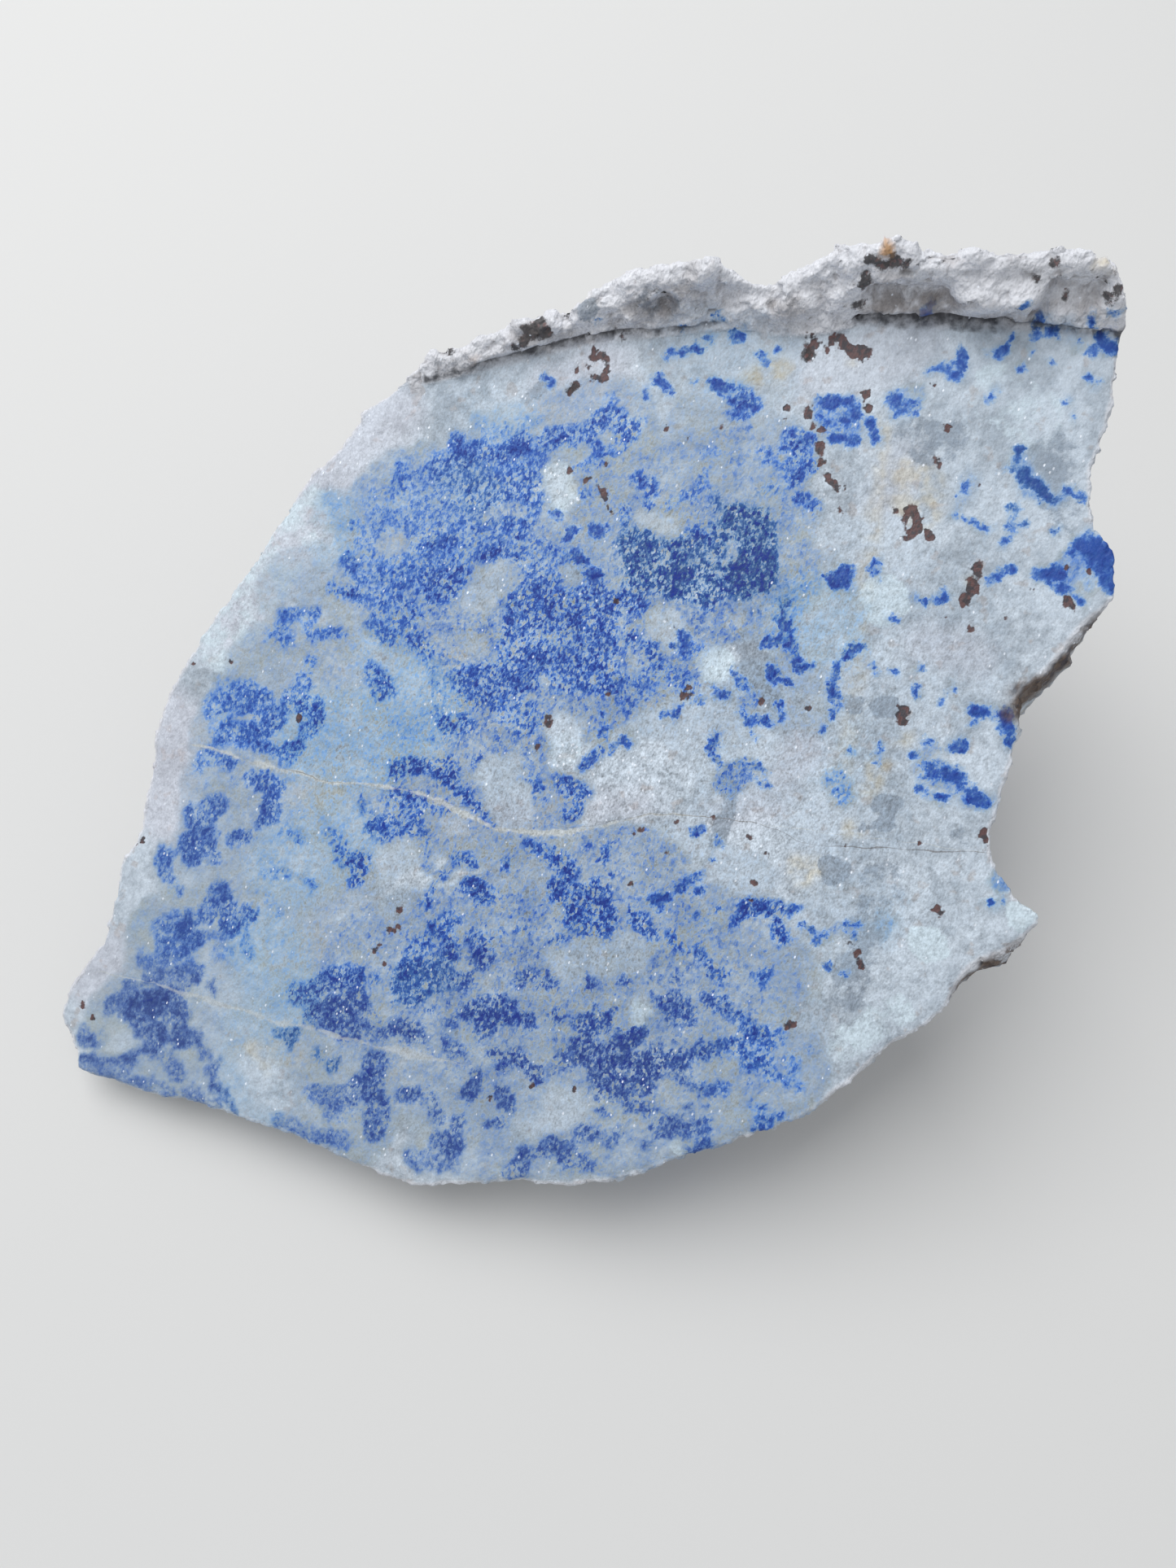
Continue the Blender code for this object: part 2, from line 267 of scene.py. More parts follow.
LOWER_LEFT_CLOUDS = [
    (0.60, 1.2, [(-35.3, -7.6), (-33.2, -8.6)]), (0.60, 1.2, [(-29, -8.2), (-27.5, -9)]),
    (0.60, 1.2, [(-38.5, -12.6), (-35, -13.3)]), (0.68, 0.7, [(-32.3, -13.8), (-31.3, -14.7)]),
    (0.60, 0.7, [(-40, -15.5)]), (0.55, 1.2, [(-38, -16), (-36.5, -18.5)]), (0.50, 0.8, [(-34.2, -17)]),
    (0.50, 0.8, [(-31.5, -19.5), (-31, -20.7)]), (0.88, 1.4, [(-26.8, -11.2), (-25, -12), (-25.5, -14)]),
    (0.70, 0.8, [(-24.5, -4), (-24.3, -5.5)]), (0.92, 1.9, [(-34, -28.5), (-31, -28), (-28, -26.5), (-26, -27)]),
    (0.92, 1.9, [(-32, -31.5), (-28, -30.5), (-25, -30)]), (0.90, 1.6, [(-28.8, -32.5), (-25.5, -33.5)]),
    (0.85, 1.2, [(-36.5, -33.5), (-34.5, -33.5), (-35, -35)]), (0.75, 1.2, [(-31, -36), (-29.5, -38), (-28, -37)]),
    (0.78, 1.9, [(-31, -41.5), (-27.5, -42.5), (-24.5, -40.5)]),
    (0.72, 1.6, [(-36.5, -44.8), (-32, -46), (-27, -47.2)]), (0.65, 1.5, [(-29, -44), (-25, -44.5)]),
]
UPPER_CLOUDS = [
    (0.70, 1.6, [(-18.7, 37), (-20, 35)]), (0.50, 1.2, [(-16.5, 39.5), (-15.5, 38.5)]),
    (0.85, 1.7, [(-14, 37.5), (-13, 36.5)]), (0.92, 1.4, [(-11.5, 39.3), (-10.3, 37.5)]),
    (0.70, 0.4, [(-12.1, 41)]), (0.58, 1.3, [(-8.5, 41.5), (-7.5, 40.3), (-4.5, 40.3)]),
    (0.60, 1.0, [(-2.5, 40.5), (0, 40.8)]), (0.55, 0.6, [(2, 40.8)]),
    (0.88, 1.8, [(-9, 38), (-5.5, 37.8), (-3, 38)]), (0.92, 1.6, [(0.5, 38.2), (3, 38.5), (4.6, 38.8)]),
    (0.92, 1.5, [(7, 38.8), (8.5, 40), (10.5, 39.8)]), (0.96, 1.4, [(11, 37.8), (12.2, 38.5)]),
    (0.62, 1.0, [(7.8, 42), (9.5, 42.3)]), (0.68, 1.5, [(7.3, 36.5), (9, 36)]),
    (0.65, 1.2, [(4.5, 34.8), (7.5, 35)]), (0.60, 3.2, [(-14, 36), (-17, 33)]),
    (0.62, 3.2, [(-20, 31), (-14, 32), (-9, 35)]), (0.65, 3.0, [(-4, 36), (-1.5, 36)]),
    (0.76, 2.6, [(-8, 33.5), (-3, 33.5), (-1, 32)]), (0.62, 3.4, [(-22, 28), (-16, 28.5), (-10, 29.5)]),
    (0.80, 1.2, [(-16.5, 27.5), (-12, 27)]), (0.86, 1.0, [(-5, 28.3), (-1.5, 28.5)]),
    (0.96, 0.7, [(-2.8, 26.5), (-1.8, 26.5)]), (0.90, 0.8, [(-9.8, 25), (-5.5, 25.2), (-2, 24.8)]),
    (0.70, 3.0, [(-20, 24.5), (-13, 24.5)]), (0.82, 2.4, [(-14.5, 22), (-11, 22.5)]),
    (0.70, 2.2, [(-21, 20.5), (-18, 19)]), (0.90, 0.7, [(-15.5, 19.2)]),
    (0.62, 2.5, [(-9, 27), (-3, 27)]), (0.88, 1.0, [(-28.5, 23), (-25, 21)]),
    (0.72, 1.3, [(-25.5, 30.5), (-24, 29)]), (0.76, 1.6, [(-26.5, 27), (-25, 24)]),
    (0.50, 1.5, [(-28.7, 34), (-28, 31)]), (0.60, 2.0, [(-23, 33), (-22.5, 31)]),
    (0.62, 2.2, [(-23, 24), (-22, 21)]),
]
HEART_CLOUDS = [
    (0.60, 3.0, [(-3, 22), (0, 24)]), (0.76, 2.0, [(0, 20.5), (1, 21)]), (0.82, 3.6, [(2, 17), (7, 16.5)]),
    (0.80, 3.2, [(-2, 17.5)]), (0.76, 3.0, [(-3, 13.5), (2, 12.5), (8, 13)]),
    (0.76, 3.0, [(-9, 9), (-3, 9.5)]), (0.76, 2.8, [(3, 9.5), (9, 8.5)]), (0.70, 2.4, [(-4, 6), (-2, 4)]),
    (0.82, 1.6, [(-13, 4.5), (-10, 4)]), (0.58, 2.0, [(11, 5), (14, 8)]), (0.60, 1.8, [(17, 8), (19, 7)]),
    (0.72, 2.0, [(5, 21), (7, 19.5)]), (0.78, 1.1, [(12.8, 32), (14.5, 31), (14.5, 28.5)]),
    (0.66, 1.2, [(11, 28.5), (11.5, 25.5)]), (0.86, 2.3, [(12.5, 24), (13, 20.5), (12, 18)]),
    (0.86, 2.0, [(16, 23.5), (18, 22.5), (20, 24)]), (0.88, 2.2, [(16.5, 19.5), (19.5, 18.5), (22, 17.5)]),
    (0.80, 2.0, [(22.5, 24), (22, 21)]), (0.70, 1.0, [(17, 28.5), (19.5, 29.5), (20.8, 32)]),
    (0.60, 1.2, [(21, 34.5), (22.5, 34)]), (0.60, 1.4, [(22, 29.5), (23, 27.5)]),
    (0.98, 2.5, [(25.5, 26), (27.5, 24), (28, 20.5), (25.5, 18.5)]), (0.96, 1.5, [(29, 22), (28.5, 18.5)]),
    (0.92, 1.0, [(11.8, 13.8), (12.5, 12.8)]), (0.75, 1.2, [(14, 12), (16, 9)]),
    (0.82, 1.3, [(-17, 15.8), (-15, 14)]), (0.80, 0.8, [(-14.3, 13)]),
    (0.70, 1.8, [(-22.5, 17.8), (-20, 16.8)]), (0.76, 1.5, [(-23.5, 12), (-21.5, 10.5)]),
    (0.86, 1.0, [(-22.3, 9), (-20.5, 9)]), (0.70, 0.8, [(-16, 9.4)]), (0.50, 2.0, [(-14, 10)]),
    (0.86, 1.5, [(-19.5, -0.8), (-15.5, -0.6)]), (0.92, 1.6, [(-13.2, -0.8), (-12.5, -3)]),
    (0.92, 0.9, [(-11, -4.3), (-9.8, -5)]), (0.96, 0.6, [(-8, 0.1), (-6.6, 0.2)]), (0.60, 1.3, [(-9, -0.5)]),
    (0.76, 1.5, [(-20.5, -4.3), (-16, -5)]), (0.76, 1.2, [(-14, -6), (-12.5, -6.6)]),
    (0.72, 1.8, [(-22.5, -7.5), (-17.5, -7.5)]), (0.92, 0.9, [(-8.5, -6.2), (-6, -7.8)]),
    (0.86, 0.9, [(-1, -3.3), (-0.3, -4.8)]), (0.70, 0.8, [(-3, -3)]), (0.82, 1.5, [(3, -4), (5.3, -5.5)]),
    (0.86, 0.8, [(5, -7), (3.2, -8.2)]), (0.55, 1.5, [(1, -6)]), (0.60, 1.0, [(-15.7, -9), (-15.2, -13)]),
    (0.85, 0.9, [(6, -2), (8, -0.5)]), (0.70, 0.9, [(8.3, 3), (8.5, 1)]),
]
RIGHT_CLOUDS = [
    (0.92, 1.2, [(22.3, 42), (24.5, 40.5), (26.5, 40)]), (0.78, 1.2, [(25, 38.5), (27.5, 39)]),
    (0.60, 1.0, [(26.5, 36.5)]), (0.70, 1.2, [(28.5, 33.5), (29.5, 31.5)]),
    (0.90, 1.8, [(31.5, 34), (33.3, 34), (33, 31.5), (32, 30.5)]), (0.80, 1.2, [(33, 27.5), (34.7, 26.5)]),
    (0.60, 1.0, [(31, 28), (28.5, 29)]), (0.50, 1.2, [(30.5, 25), (34.5, 24.8)]),
    (0.55, 1.2, [(24, 33.5), (25.5, 32.5)]), (0.45, 1.2, [(52, 24), (53, 27.5)]),
    (0.60, 1.5, [(58.5, 28.5), (60, 25.5)]), (0.50, 1.2, [(62, 24), (64.5, 24)]),
    (0.45, 1.2, [(48.5, -3), (47, -5)]), (0.55, 1.2, [(56.3, -18.8)]), (0.40, 1.5, [(43, -23)]),
    (0.60, 1.5, [(37, -6), (38, -8)]), (0.55, 2.0, [(26, -4), (24, -5)]), (0.55, 1.5, [(27, 4)]),
    (0.60, 1.3, [(67, 17), (66, 14)]), (0.50, 1.5, [(61.5, 44), (64, 43)]), (0.66, 2.4, [(36.3, 37), (38.3, 35)]),
    (0.52, 1.6, [(45, 37), (46.5, 38)]), (0.58, 2.0, [(66, 17.5), (63, 15)]), (0.60, 1.8, [(49.5, -6), (53.5, -9.5)]),
    (0.50, 1.5, [(31, 13), (31.5, 9)]), (0.45, 1.2, [(37.5, 17.5)]), (0.50, 1.3, [(24, 42), (26.5, 39.5)]),
    (0.45, 1.2, [(40, -23.3), (35, -24)]), (0.50, 1.0, [(67.5, 39.5)]), (0.40, 1.2, [(50.5, 39.8)]),
]
BELOW_VEIN_CLOUDS = [
    (0.80, 1.3, [(-11.5, -12), (-9.5, -13)]), (0.86, 1.1, [(-4.7, -13.2)]), (0.92, 1.6, [(-9.3, -16), (-7, -17)]),
    (0.60, 1.0, [(-5.5, -17)]), (0.86, 0.9, [(-14.3, -15.7), (-15.3, -17.5)]), (0.65, 1.3, [(-13, -14)]),
    (0.80, 0.9, [(-1.3, -11.6), (0, -12)]), (0.86, 1.3, [(1.5, -13), (4, -14.8)]),
    (0.92, 2.0, [(2.5, -17), (5, -18), (7.5, -18)]), (0.92, 1.8, [(4.5, -20.5), (8, -20.5)]),
    (0.90, 0.8, [(8, -13.8), (8.7, -12.2)]), (0.70, 0.8, [(6, -12)]), (0.80, 0.7, [(9.3, -15.2)]),
    (0.92, 0.9, [(1.5, -23), (3.2, -23.6)]), (0.86, 1.1, [(6, -22.3), (8.7, -22.3)]),
    (0.76, 0.8, [(10.2, -21.8)]), (0.80, 0.5, [(9.5, -20)]), (0.92, 1.1, [(12, -20.3), (13.7, -22), (14.3, -23)]),
    (0.80, 0.7, [(14.2, -20.7)]), (0.86, 0.9, [(16.7, -23), (17.8, -24.6)]),
    (0.92, 0.8, [(19.6, -25), (21.2, -26.3), (22.3, -28)]), (0.90, 0.7, [(22.7, -29.5), (23.5, -27.5)]),
    (0.80, 0.8, [(20.2, -21)]), (0.86, 0.8, [(23, -20.6)]), (0.92, 0.9, [(5.7, -27), (6.2, -29)]),
    (0.86, 0.9, [(10.3, -27.2), (11, -28)]), (0.90, 0.6, [(14.6, -28.2)]), (0.80, 0.8, [(17.3, -28.3)]),
    (0.86, 1.1, [(1.3, -26.8), (0.3, -28.5), (2, -28.3)]), (0.86, 1.0, [(-1.3, -27), (-2.8, -28)]),
    (0.82, 1.8, [(-8.5, -22.5), (-7.5, -24.5)]), (0.86, 0.8, [(-6, -22), (-5, -22)]), (0.60, 1.5, [(-9, -26)]),
    (0.80, 0.6, [(-2.8, -21.3), (-1.5, -22.7)]), (0.86, 1.2, [(-12.3, -22.5), (-12, -24.3)]),
    (0.76, 1.5, [(-14.5, -20.7), (-11.8, -20.2)]), (0.76, 1.5, [(-17.5, -23.5), (-15.5, -22.8)]),
    (0.86, 1.6, [(-19, -26.3), (-17, -24.8)]), (0.76, 2.5, [(-18, -28.3), (-14, -26.5)]),
    (0.80, 1.2, [(-11.5, -27.5), (-9.8, -27.8)]), (0.70, 0.9, [(-23.5, -27.6), (-22.5, -26.8)]),
]
LOWER_CLOUDS = [
    (0.92, 1.9, [(-9, -31.5), (-6, -31.5)]), (0.92, 1.3, [(-8.5, -34), (-4.5, -31)]),
    (0.92, 1.3, [(-4, -32.5), (-1.2, -33.6)]), (0.86, 1.0, [(-15, -31.3)]),
    (0.86, 1.5, [(-20.5, -33.2), (-16.5, -34.2)]), (0.76, 1.5, [(-23.5, -32.5), (-21.5, -33.5)]),
    (0.70, 1.5, [(-12.5, -35.5), (-11, -36.5)]), (0.60, 1.2, [(-15, -36.5)]), (0.70, 1.5, [(-12, -33)]),
    (0.86, 1.0, [(1.8, -33), (3, -32.5)]), (0.80, 0.9, [(2, -35)]), (0.92, 1.5, [(5.5, -33.8), (8, -33.3)]),
    (0.97, 1.3, [(12.8, -34.3), (11, -35.8), (9, -36.5)]), (0.92, 2.2, [(6, -36.5), (9, -38.5)]),
    (0.97, 2.0, [(12, -38.5), (15, -38.5)]), (0.86, 1.6, [(17.5, -38), (18, -40)]),
    (0.86, 2.0, [(8, -41), (13, -41)]), (0.90, 1.3, [(-6, -37), (-4.8, -37.7)]),
    (0.97, 1.2, [(-3.2, -37), (-1.5, -38.7), (-0.3, -40)]), (0.70, 1.5, [(2, -38), (4, -37.5)]),
    (0.76, 1.6, [(15.5, -31), (18, -31.5)]), (0.86, 1.1, [(17, -33), (19.3, -33)]),
    (0.80, 1.4, [(21.5, -31), (23, -32)]), (0.80, 1.4, [(20, -37.5), (23, -37)]), (0.76, 0.9, [(17, -35.5)]),
    (0.80, 0.8, [(21.5, -35.7)]), (0.92, 1.9, [(-23, -39.5), (-22, -43), (-23, -45.8)]),
    (0.76, 2.0, [(-22.5, -37.5)]), (0.80, 1.5, [(-15.5, -42), (-14, -45)]), (0.76, 1.5, [(-18, -41.5)]),
    (0.86, 1.7, [(-14.3, -47.5), (-11.5, -48.5)]), (0.80, 1.3, [(-11, -45), (-12, -48)]),
    (0.80, 1.2, [(-9.5, -42), (-8.5, -39.5)]), (0.86, 1.3, [(-5.8, -42), (-4, -43.7)]),
    (0.90, 1.0, [(-7, -45.8), (-5, -45.5)]), (0.72, 1.6, [(-17, -49.5), (-14.5, -50.5)]),
    (0.65, 1.4, [(-12, -50.5)]), (0.86, 1.3, [(-2.2, -48.5), (-3, -51), (-4.3, -51.5)]),
    (0.82, 1.8, [(1, -48.5), (3.5, -49.5), (5.5, -50.5)]), (0.76, 1.3, [(5.3, -46.5), (7, -47)]),
    (0.80, 1.2, [(8, -44.3)]), (0.80, 1.3, [(12, -43.8), (14, -44)]), (0.80, 0.8, [(19, -44)]),
    (0.70, 0.7, [(21, -43.5)]), (0.76, 1.3, [(15.5, -46), (18.5, -46.8), (21.5, -46)]),
    (0.86, 0.8, [(14, -48.3)]), (0.70, 1.3, [(9, -48), (10, -46.5)]), (0.70, 0.8, [(11.8, -47.8)]),
    (0.76, 1.1, [(18.8, -48.6), (21.3, -48.2)]), (0.70, 0.6, [(16, -49.7)]),
    (0.76, 1.2, [(20.5, -41.5), (23.5, -42)]), (0.76, 0.8, [(22.7, -39)]),
]
LOWER_RIGHT_CLOUDS = [
    (0.97, 1.4, [(26, -20.7), (29.5, -20.5)]), (0.97, 1.2, [(30, -22), (31, -24)]),
    (0.95, 0.7, [(30.5, -21.3), (32, -20.6)]), (0.90, 0.9, [(25, -22)]), (0.80, 0.6, [(28.8, -25.5)]),
    (0.60, 0.8, [(31, -26)]), (0.86, 0.6, [(26, -27), (27, -27.8)]), (0.86, 0.9, [(27.8, -28.8), (28.5, -28)]),
    (0.50, 0.8, [(32.5, -30.3)]), (0.50, 0.6, [(30.3, -32)]), (0.86, 1.3, [(25.3, -33), (27.2, -34.8), (28.4, -36)]),
    (0.86, 1.6, [(25, -36.5), (27, -38.5)]), (0.86, 1.0, [(28.5, -38), (29.7, -40)]),
    (0.80, 1.0, [(31.5, -37.8), (32.5, -39.3)]), (0.62, 1.0, [(33.5, -37)]), (0.70, 1.2, [(30.5, -36)]),
    (0.76, 1.2, [(30.5, -40.5), (32.5, -41.3)]), (0.86, 0.5, [(33.3, -43)]), (0.60, 0.8, [(26.5, -41.3)]),
    (0.92, 1.2, [(28.5, -44.8), (28.2, -46.5)]), (0.72, 1.2, [(30.5, -44.8), (31, -45)]), (0.80, 1.0, [(27, -44)]),
]
CLOUDS = (
    HAZE + LEFT_CLOUDS + LEFT_TIP_CLOUDS + LOWER_LEFT_CLOUDS + UPPER_CLOUDS + HEART_CLOUDS
    + RIGHT_CLOUDS + BELOW_VEIN_CLOUDS + LOWER_CLOUDS + LOWER_RIGHT_CLOUDS
)
FLECK_HALO = 0.5
# Pale places that interrupt the clouds: (how much blue they take away, half-width, path)
GAPS = [
    (0.75, 2.4, [(3, 2.5), (3, 0)]), (0.55, 3.0, [(-6, -2), (-4, -6)]), (0.9, 3.6, [(12, -4), (16.5, -5)]),
    (0.8, 2.0, [(2, 33.5), (3, 31)]), (0.45, 1.6, [(-20.3, 27.3)]), (0.4, 2.2, [(-9, 20), (-5, 22.5)]),
    (0.35, 3.0, [(-19, -12), (-20, -17)]), (0.7, 2.0, [(22.5, 9)]), (0.45, 3.0, [(3, -43.5)]),
    (0.4, 2.2, [(-17.5, -46)]), (0.4, 2.5, [(12, -25), (3, -25.5)]), (0.5, 1.6, [(13, -32)]),
    (0.6, 3.0, [(-40, -37), (-37, -41)]), (0.5, 2.0, [(16, 15), (17, 13)]), (0.45, 1.6, [(16.5, 26), (13.5, 27)]),
    (0.45, 1.6, [(-62, -33.5), (-60, -34)]), (0.35, 1.8, [(-9, 14)]), (0.4, 1.5, [(-12, -8)]),
    (0.4, 1.5, [(2, -45.5), (-3, -46.5)]), (0.45, 1.2, [(17.5, -48.3)]), (0.7, 1.4, [(4.5, 21.4)]),
]
print(len(CLOUDS), "clouds and", len(GAPS), "gaps")

# %% [markdown]
# ### Flecks, rust and soot
#
# Where lazurite fills a whole patch it is a deep royal blue with a crisp rim. Rust spots are
# grains of an iron mineral that has weathered brown. They are sharp too, and some on the lip are
# nearly black. These strokes have no density: a point is either on one or not.

# %% Blue flecks
FLECKS = [
    (0.7, [(18.7, 12.5), (18.5, 10.8)]), (0.45, [(17, 11.5), (20.7, 11)]), (0.9, [(3.3, 23.6)]),
    (0.8, [(4.7, 24), (5.6, 23)]), (1.0, [(7, 26.8), (7.7, 26.3)]), (0.6, [(3.8, 26.8), (4, 26)]),
    (0.6, [(1.5, 29.2), (2.5, 28.7)]), (0.5, [(5.7, 30.8), (6.4, 31)]), (0.8, [(6.5, 21.3), (7.2, 20.8)]),
    (0.6, [(0.3, 20.7)]), (0.5, [(5.6, -2.3), (6.5, -1), (7.5, -0.2)]), (0.5, [(8, 1.7), (8.7, 2.5)]),
    (0.4, [(9, -0.6), (9.3, 0)]), (0.5, [(11, 1), (11.6, 0.3)]), (0.5, [(8.2, 4)]),
    (0.45, [(16.3, 46.6), (17, 46.8)]), (0.4, [(18.2, 46.7), (19.2, 46.8)]), (0.5, [(20, 47), (20.5, 46.6)]),
    (0.5, [(21.3, 47.8), (21.8, 47.4)]), (0.9, [(22.5, 42), (23.8, 41.5)]), (0.35, [(13.5, 42.7), (13.6, 41.8)]),
    (0.5, [(15, 43.8), (16.3, 42.7)]), (0.4, [(16.8, 42)]), (0.3, [(19.3, 43)]), (0.3, [(0.7, 46)]),
    (0.4, [(1.3, 45)]), (0.7, [(24.7, 47.6), (25.8, 47.6)]), (0.4, [(28.2, 45.2)]), (0.3, [(28.6, 44)]),
    (0.3, [(30.2, 45.2)]), (0.7, [(26, 40), (27.3, 38.8)]), (0.9, [(35.6, 38), (36.8, 38)]),
    (0.6, [(35.3, 36.7), (36, 36)]), (0.8, [(38.6, 37.8), (39.6, 36.6)]), (0.6, [(38, 35.8)]),
    (0.9, [(37.2, 34), (38.8, 33.5)]), (0.5, [(37.5, 35.2)]), (0.55, [(41.2, 35.2), (42, 33.3)]),
    (1.0, [(44, 37.7), (44.5, 36.8)]), (0.8, [(44.5, 36), (46.2, 36.5)]), (0.5, [(48.2, 40.3), (50.3, 40.2)]),
    (0.7, [(50.3, 40), (51.3, 39.2)]), (0.4, [(51.5, 39.6), (51.8, 42)]), (0.55, [(56, 41.2), (57, 41.6)]),
    (0.3, [(57, 42), (57.4, 42.6)]), (0.3, [(55, 41.3)]), (0.35, [(55, 36.2), (55.7, 37.4)]),
    (0.45, [(60.5, 43.6), (60.3, 42.5)]), (0.3, [(61.5, 42.6), (62.2, 42.4)]), (0.45, [(64.9, 41.5), (65, 41)]),
    (0.8, [(67.6, 40.6), (69, 40)]), (0.6, [(66.7, 40)]), (0.5, [(65.8, 37.3), (67, 36.2)]),
    (0.35, [(63.6, 34.5)]), (0.35, [(64.3, 33)]), (0.3, [(62, 39.6)]), (0.25, [(58.7, 39)]), (0.25, [(59.8, 40.7)]),
    (0.5, [(58.3, 29.8), (57.6, 28)]), (0.4, [(56.8, 27.9)]), (0.9, [(58.7, 27), (59.5, 25.8), (60.7, 25.3)]),
    (0.45, [(61.3, 24.3), (62.3, 23.4), (63, 23.9)]), (0.3, [(63.5, 25), (64, 24.3), (65.3, 23.6)]),
    (0.45, [(57.6, 23.3), (57.4, 21.5)]), (0.4, [(57.3, 21.2), (58.7, 21.2)]), (0.5, [(56.7, 19.8)]),
    (0.4, [(51.9, 26), (52.3, 27)]), (0.35, [(51.5, 23.2), (53.5, 22), (54.6, 21.4)]), (0.3, [(62.5, 20.5)]),
    (1.8, [(66.3, 18.2), (68, 17.4)]), (1.4, [(67.4, 16), (68.6, 14)]), (0.6, [(64.2, 17.5)]),
    (0.9, [(61, 15.7), (63, 15.2)]), (0.6, [(62.7, 14.3), (64, 13.4)]), (0.3, [(64.8, 12.5), (65.3, 12)]),
    (0.4, [(57.3, 16.8), (56.3, 16.3)]), (0.3, [(55.8, 16), (54.8, 15.6)]), (0.3, [(46.6, 14.5), (47.6, 13.7)]),
    (0.4, [(49, 14), (50, 14.4)]), (0.3, [(44, 12.3)]), (1.1, [(37, 17.3), (38.3, 17.8)]), (0.7, [(38.5, 16.8)]),
    (0.5, [(41.6, 19), (41.8, 17.9)]), (0.25, [(42.4, 17)]), (0.65, [(31.2, 15.2), (30.5, 13.2), (31, 12)]),
    (0.7, [(30.3, 11.3), (29, 10.7)]), (0.6, [(31.5, 12.8), (32.7, 12.6)]), (0.7, [(32, 12.2), (31.5, 10.4)]),
    (0.7, [(32, 9), (32.7, 7.5)]), (0.5, [(33.5, 7.7), (34.4, 7.6)]), (0.6, [(29.3, 8), (29.8, 6.5)]),
    (0.4, [(31, 6.2), (32, 5.6)]), (0.45, [(38.3, 8.4), (39.3, 9.1), (40.2, 9.5)]), (0.6, [(37.3, 7.2), (36.7, 5.8)]),
    (0.6, [(36.6, 5), (36.8, 4)]), (0.4, [(37.3, 2.8), (36.9, 1.9)]), (0.3, [(41.2, 7.2), (41.8, 6.3)]),
    (0.3, [(44.2, 6.2)]), (0.35, [(46.8, 4.2), (46.7, 3.3)]), (0.35, [(47.3, 6)]), (0.4, [(50.8, 3.6)]),
    (0.3, [(49.4, 2.4)]), (0.5, [(24.8, 7.8), (25.5, 6.5)]), (0.35, [(26, 5.8), (27.5, 5)]),
    (0.6, [(24, 5.2), (22.3, 5.3)]), (0.45, [(21, 4.8), (19.8, 5)]), (0.4, [(18, 4.5), (17.6, 3.2)]),
    (0.4, [(16, 3.6)]), (0.35, [(21.6, 6.3)]), (0.5, [(25.7, 3), (26.5, 2)]), (0.6, [(27.3, 2.2), (28.7, 1.5)]),
    (0.5, [(30.2, 3.3), (30.4, 2)]), (0.3, [(27.5, -0.2)]), (0.3, [(35.4, 0)]), (0.6, [(22.6, 0.3), (22, -1.2)]),
    (0.4, [(22.7, -2.5), (23, -3.2)]), (0.3, [(25, -3.1), (27, -3.2)]), (0.5, [(27.5, -3.5), (28.5, -4.5)]),
    (0.35, [(28, -5.5), (28.8, -6.2)]), (0.3, [(24.3, -6.3)]), (0.3, [(39, -3)]), (0.4, [(42.6, -2.5), (42.2, -4)]),
    (0.3, [(37, -5.5)]), (0.35, [(37.5, -7.5)]), (0.5, [(53.2, 0.8), (54.7, 0.5)]), (0.3, [(53.3, -0.6)]),
    (1.1, [(56.7, -0.3), (57.2, -1.5)]), (0.6, [(57.3, -2.2), (57.7, -3.3)]), (0.35, [(47.4, -2.1), (48.6, -2.4)]),
    (0.7, [(51, -3), (52, -2.8)]), (0.3, [(46.3, -3.6)]), (1.1, [(48, -5.8), (50, -6)]),
    (0.8, [(51, -6.5), (52, -8)]), (0.9, [(53, -8.5), (54.8, -10)]), (0.4, [(47.3, -8), (49.5, -9)]),
    (0.3, [(55, -21.5), (56, -21)]), (0.45, [(31.3, -21.2), (32.2, -20.6)]), (0.4, [(33.3, -22.6), (34.2, -23.6)]),
    (0.5, [(34.8, -24.5), (35.8, -24)]), (0.4, [(38.3, -23), (40, -23)]), (0.35, [(39.5, -23.8)]),
    (0.3, [(36.3, -27.7)]), (0.35, [(38, -28.4)]), (0.7, [(14.5, -18.7), (15.5, -19.6), (16, -18.6)]),
    (0.4, [(17.3, -17.6), (18.8, -17.4)]), (0.5, [(19, -16.8), (20.5, -16.3)]), (0.4, [(20.3, -17.8)]),
    (0.4, [(19.7, -11), (20.5, -10.5)]), (0.3, [(22, -14.5)]), (0.3, [(21.5, -21.9)]), (0.4, [(23, -12.3)]),
    (0.4, [(7.2, -31.7)]), (0.5, [(9.5, -31.8)]), (0.6, [(10.5, -34.5), (9.8, -35.3)]), (0.6, [(8.9, -36), (8.3, -37.2)]),
    (0.6, [(11.2, -35.8), (10.7, -36.8)]), (0.5, [(13.3, -34.3), (12.6, -36)]), (0.5, [(11.2, -39.5), (12.8, -39.3)]),
]
LIP_FLECKS = [
    (0.7, [(47.6, 45.7, 2.0)]), (0.3, [(57.1, 44.4, 4.1)]), (0.5, [(60.4, 43.3, 0.7)]), (0.5, [(65.5, 42.2, 2.0)]),
    (0.4, [(67.8, 41.7, 3.3)]), (0.25, [(7.3, 50, 2.8)]), (0.3, [(18.6, 49.1, 0.8)]), (0.6, [(22.7, 49.2, 1.3)]),
]

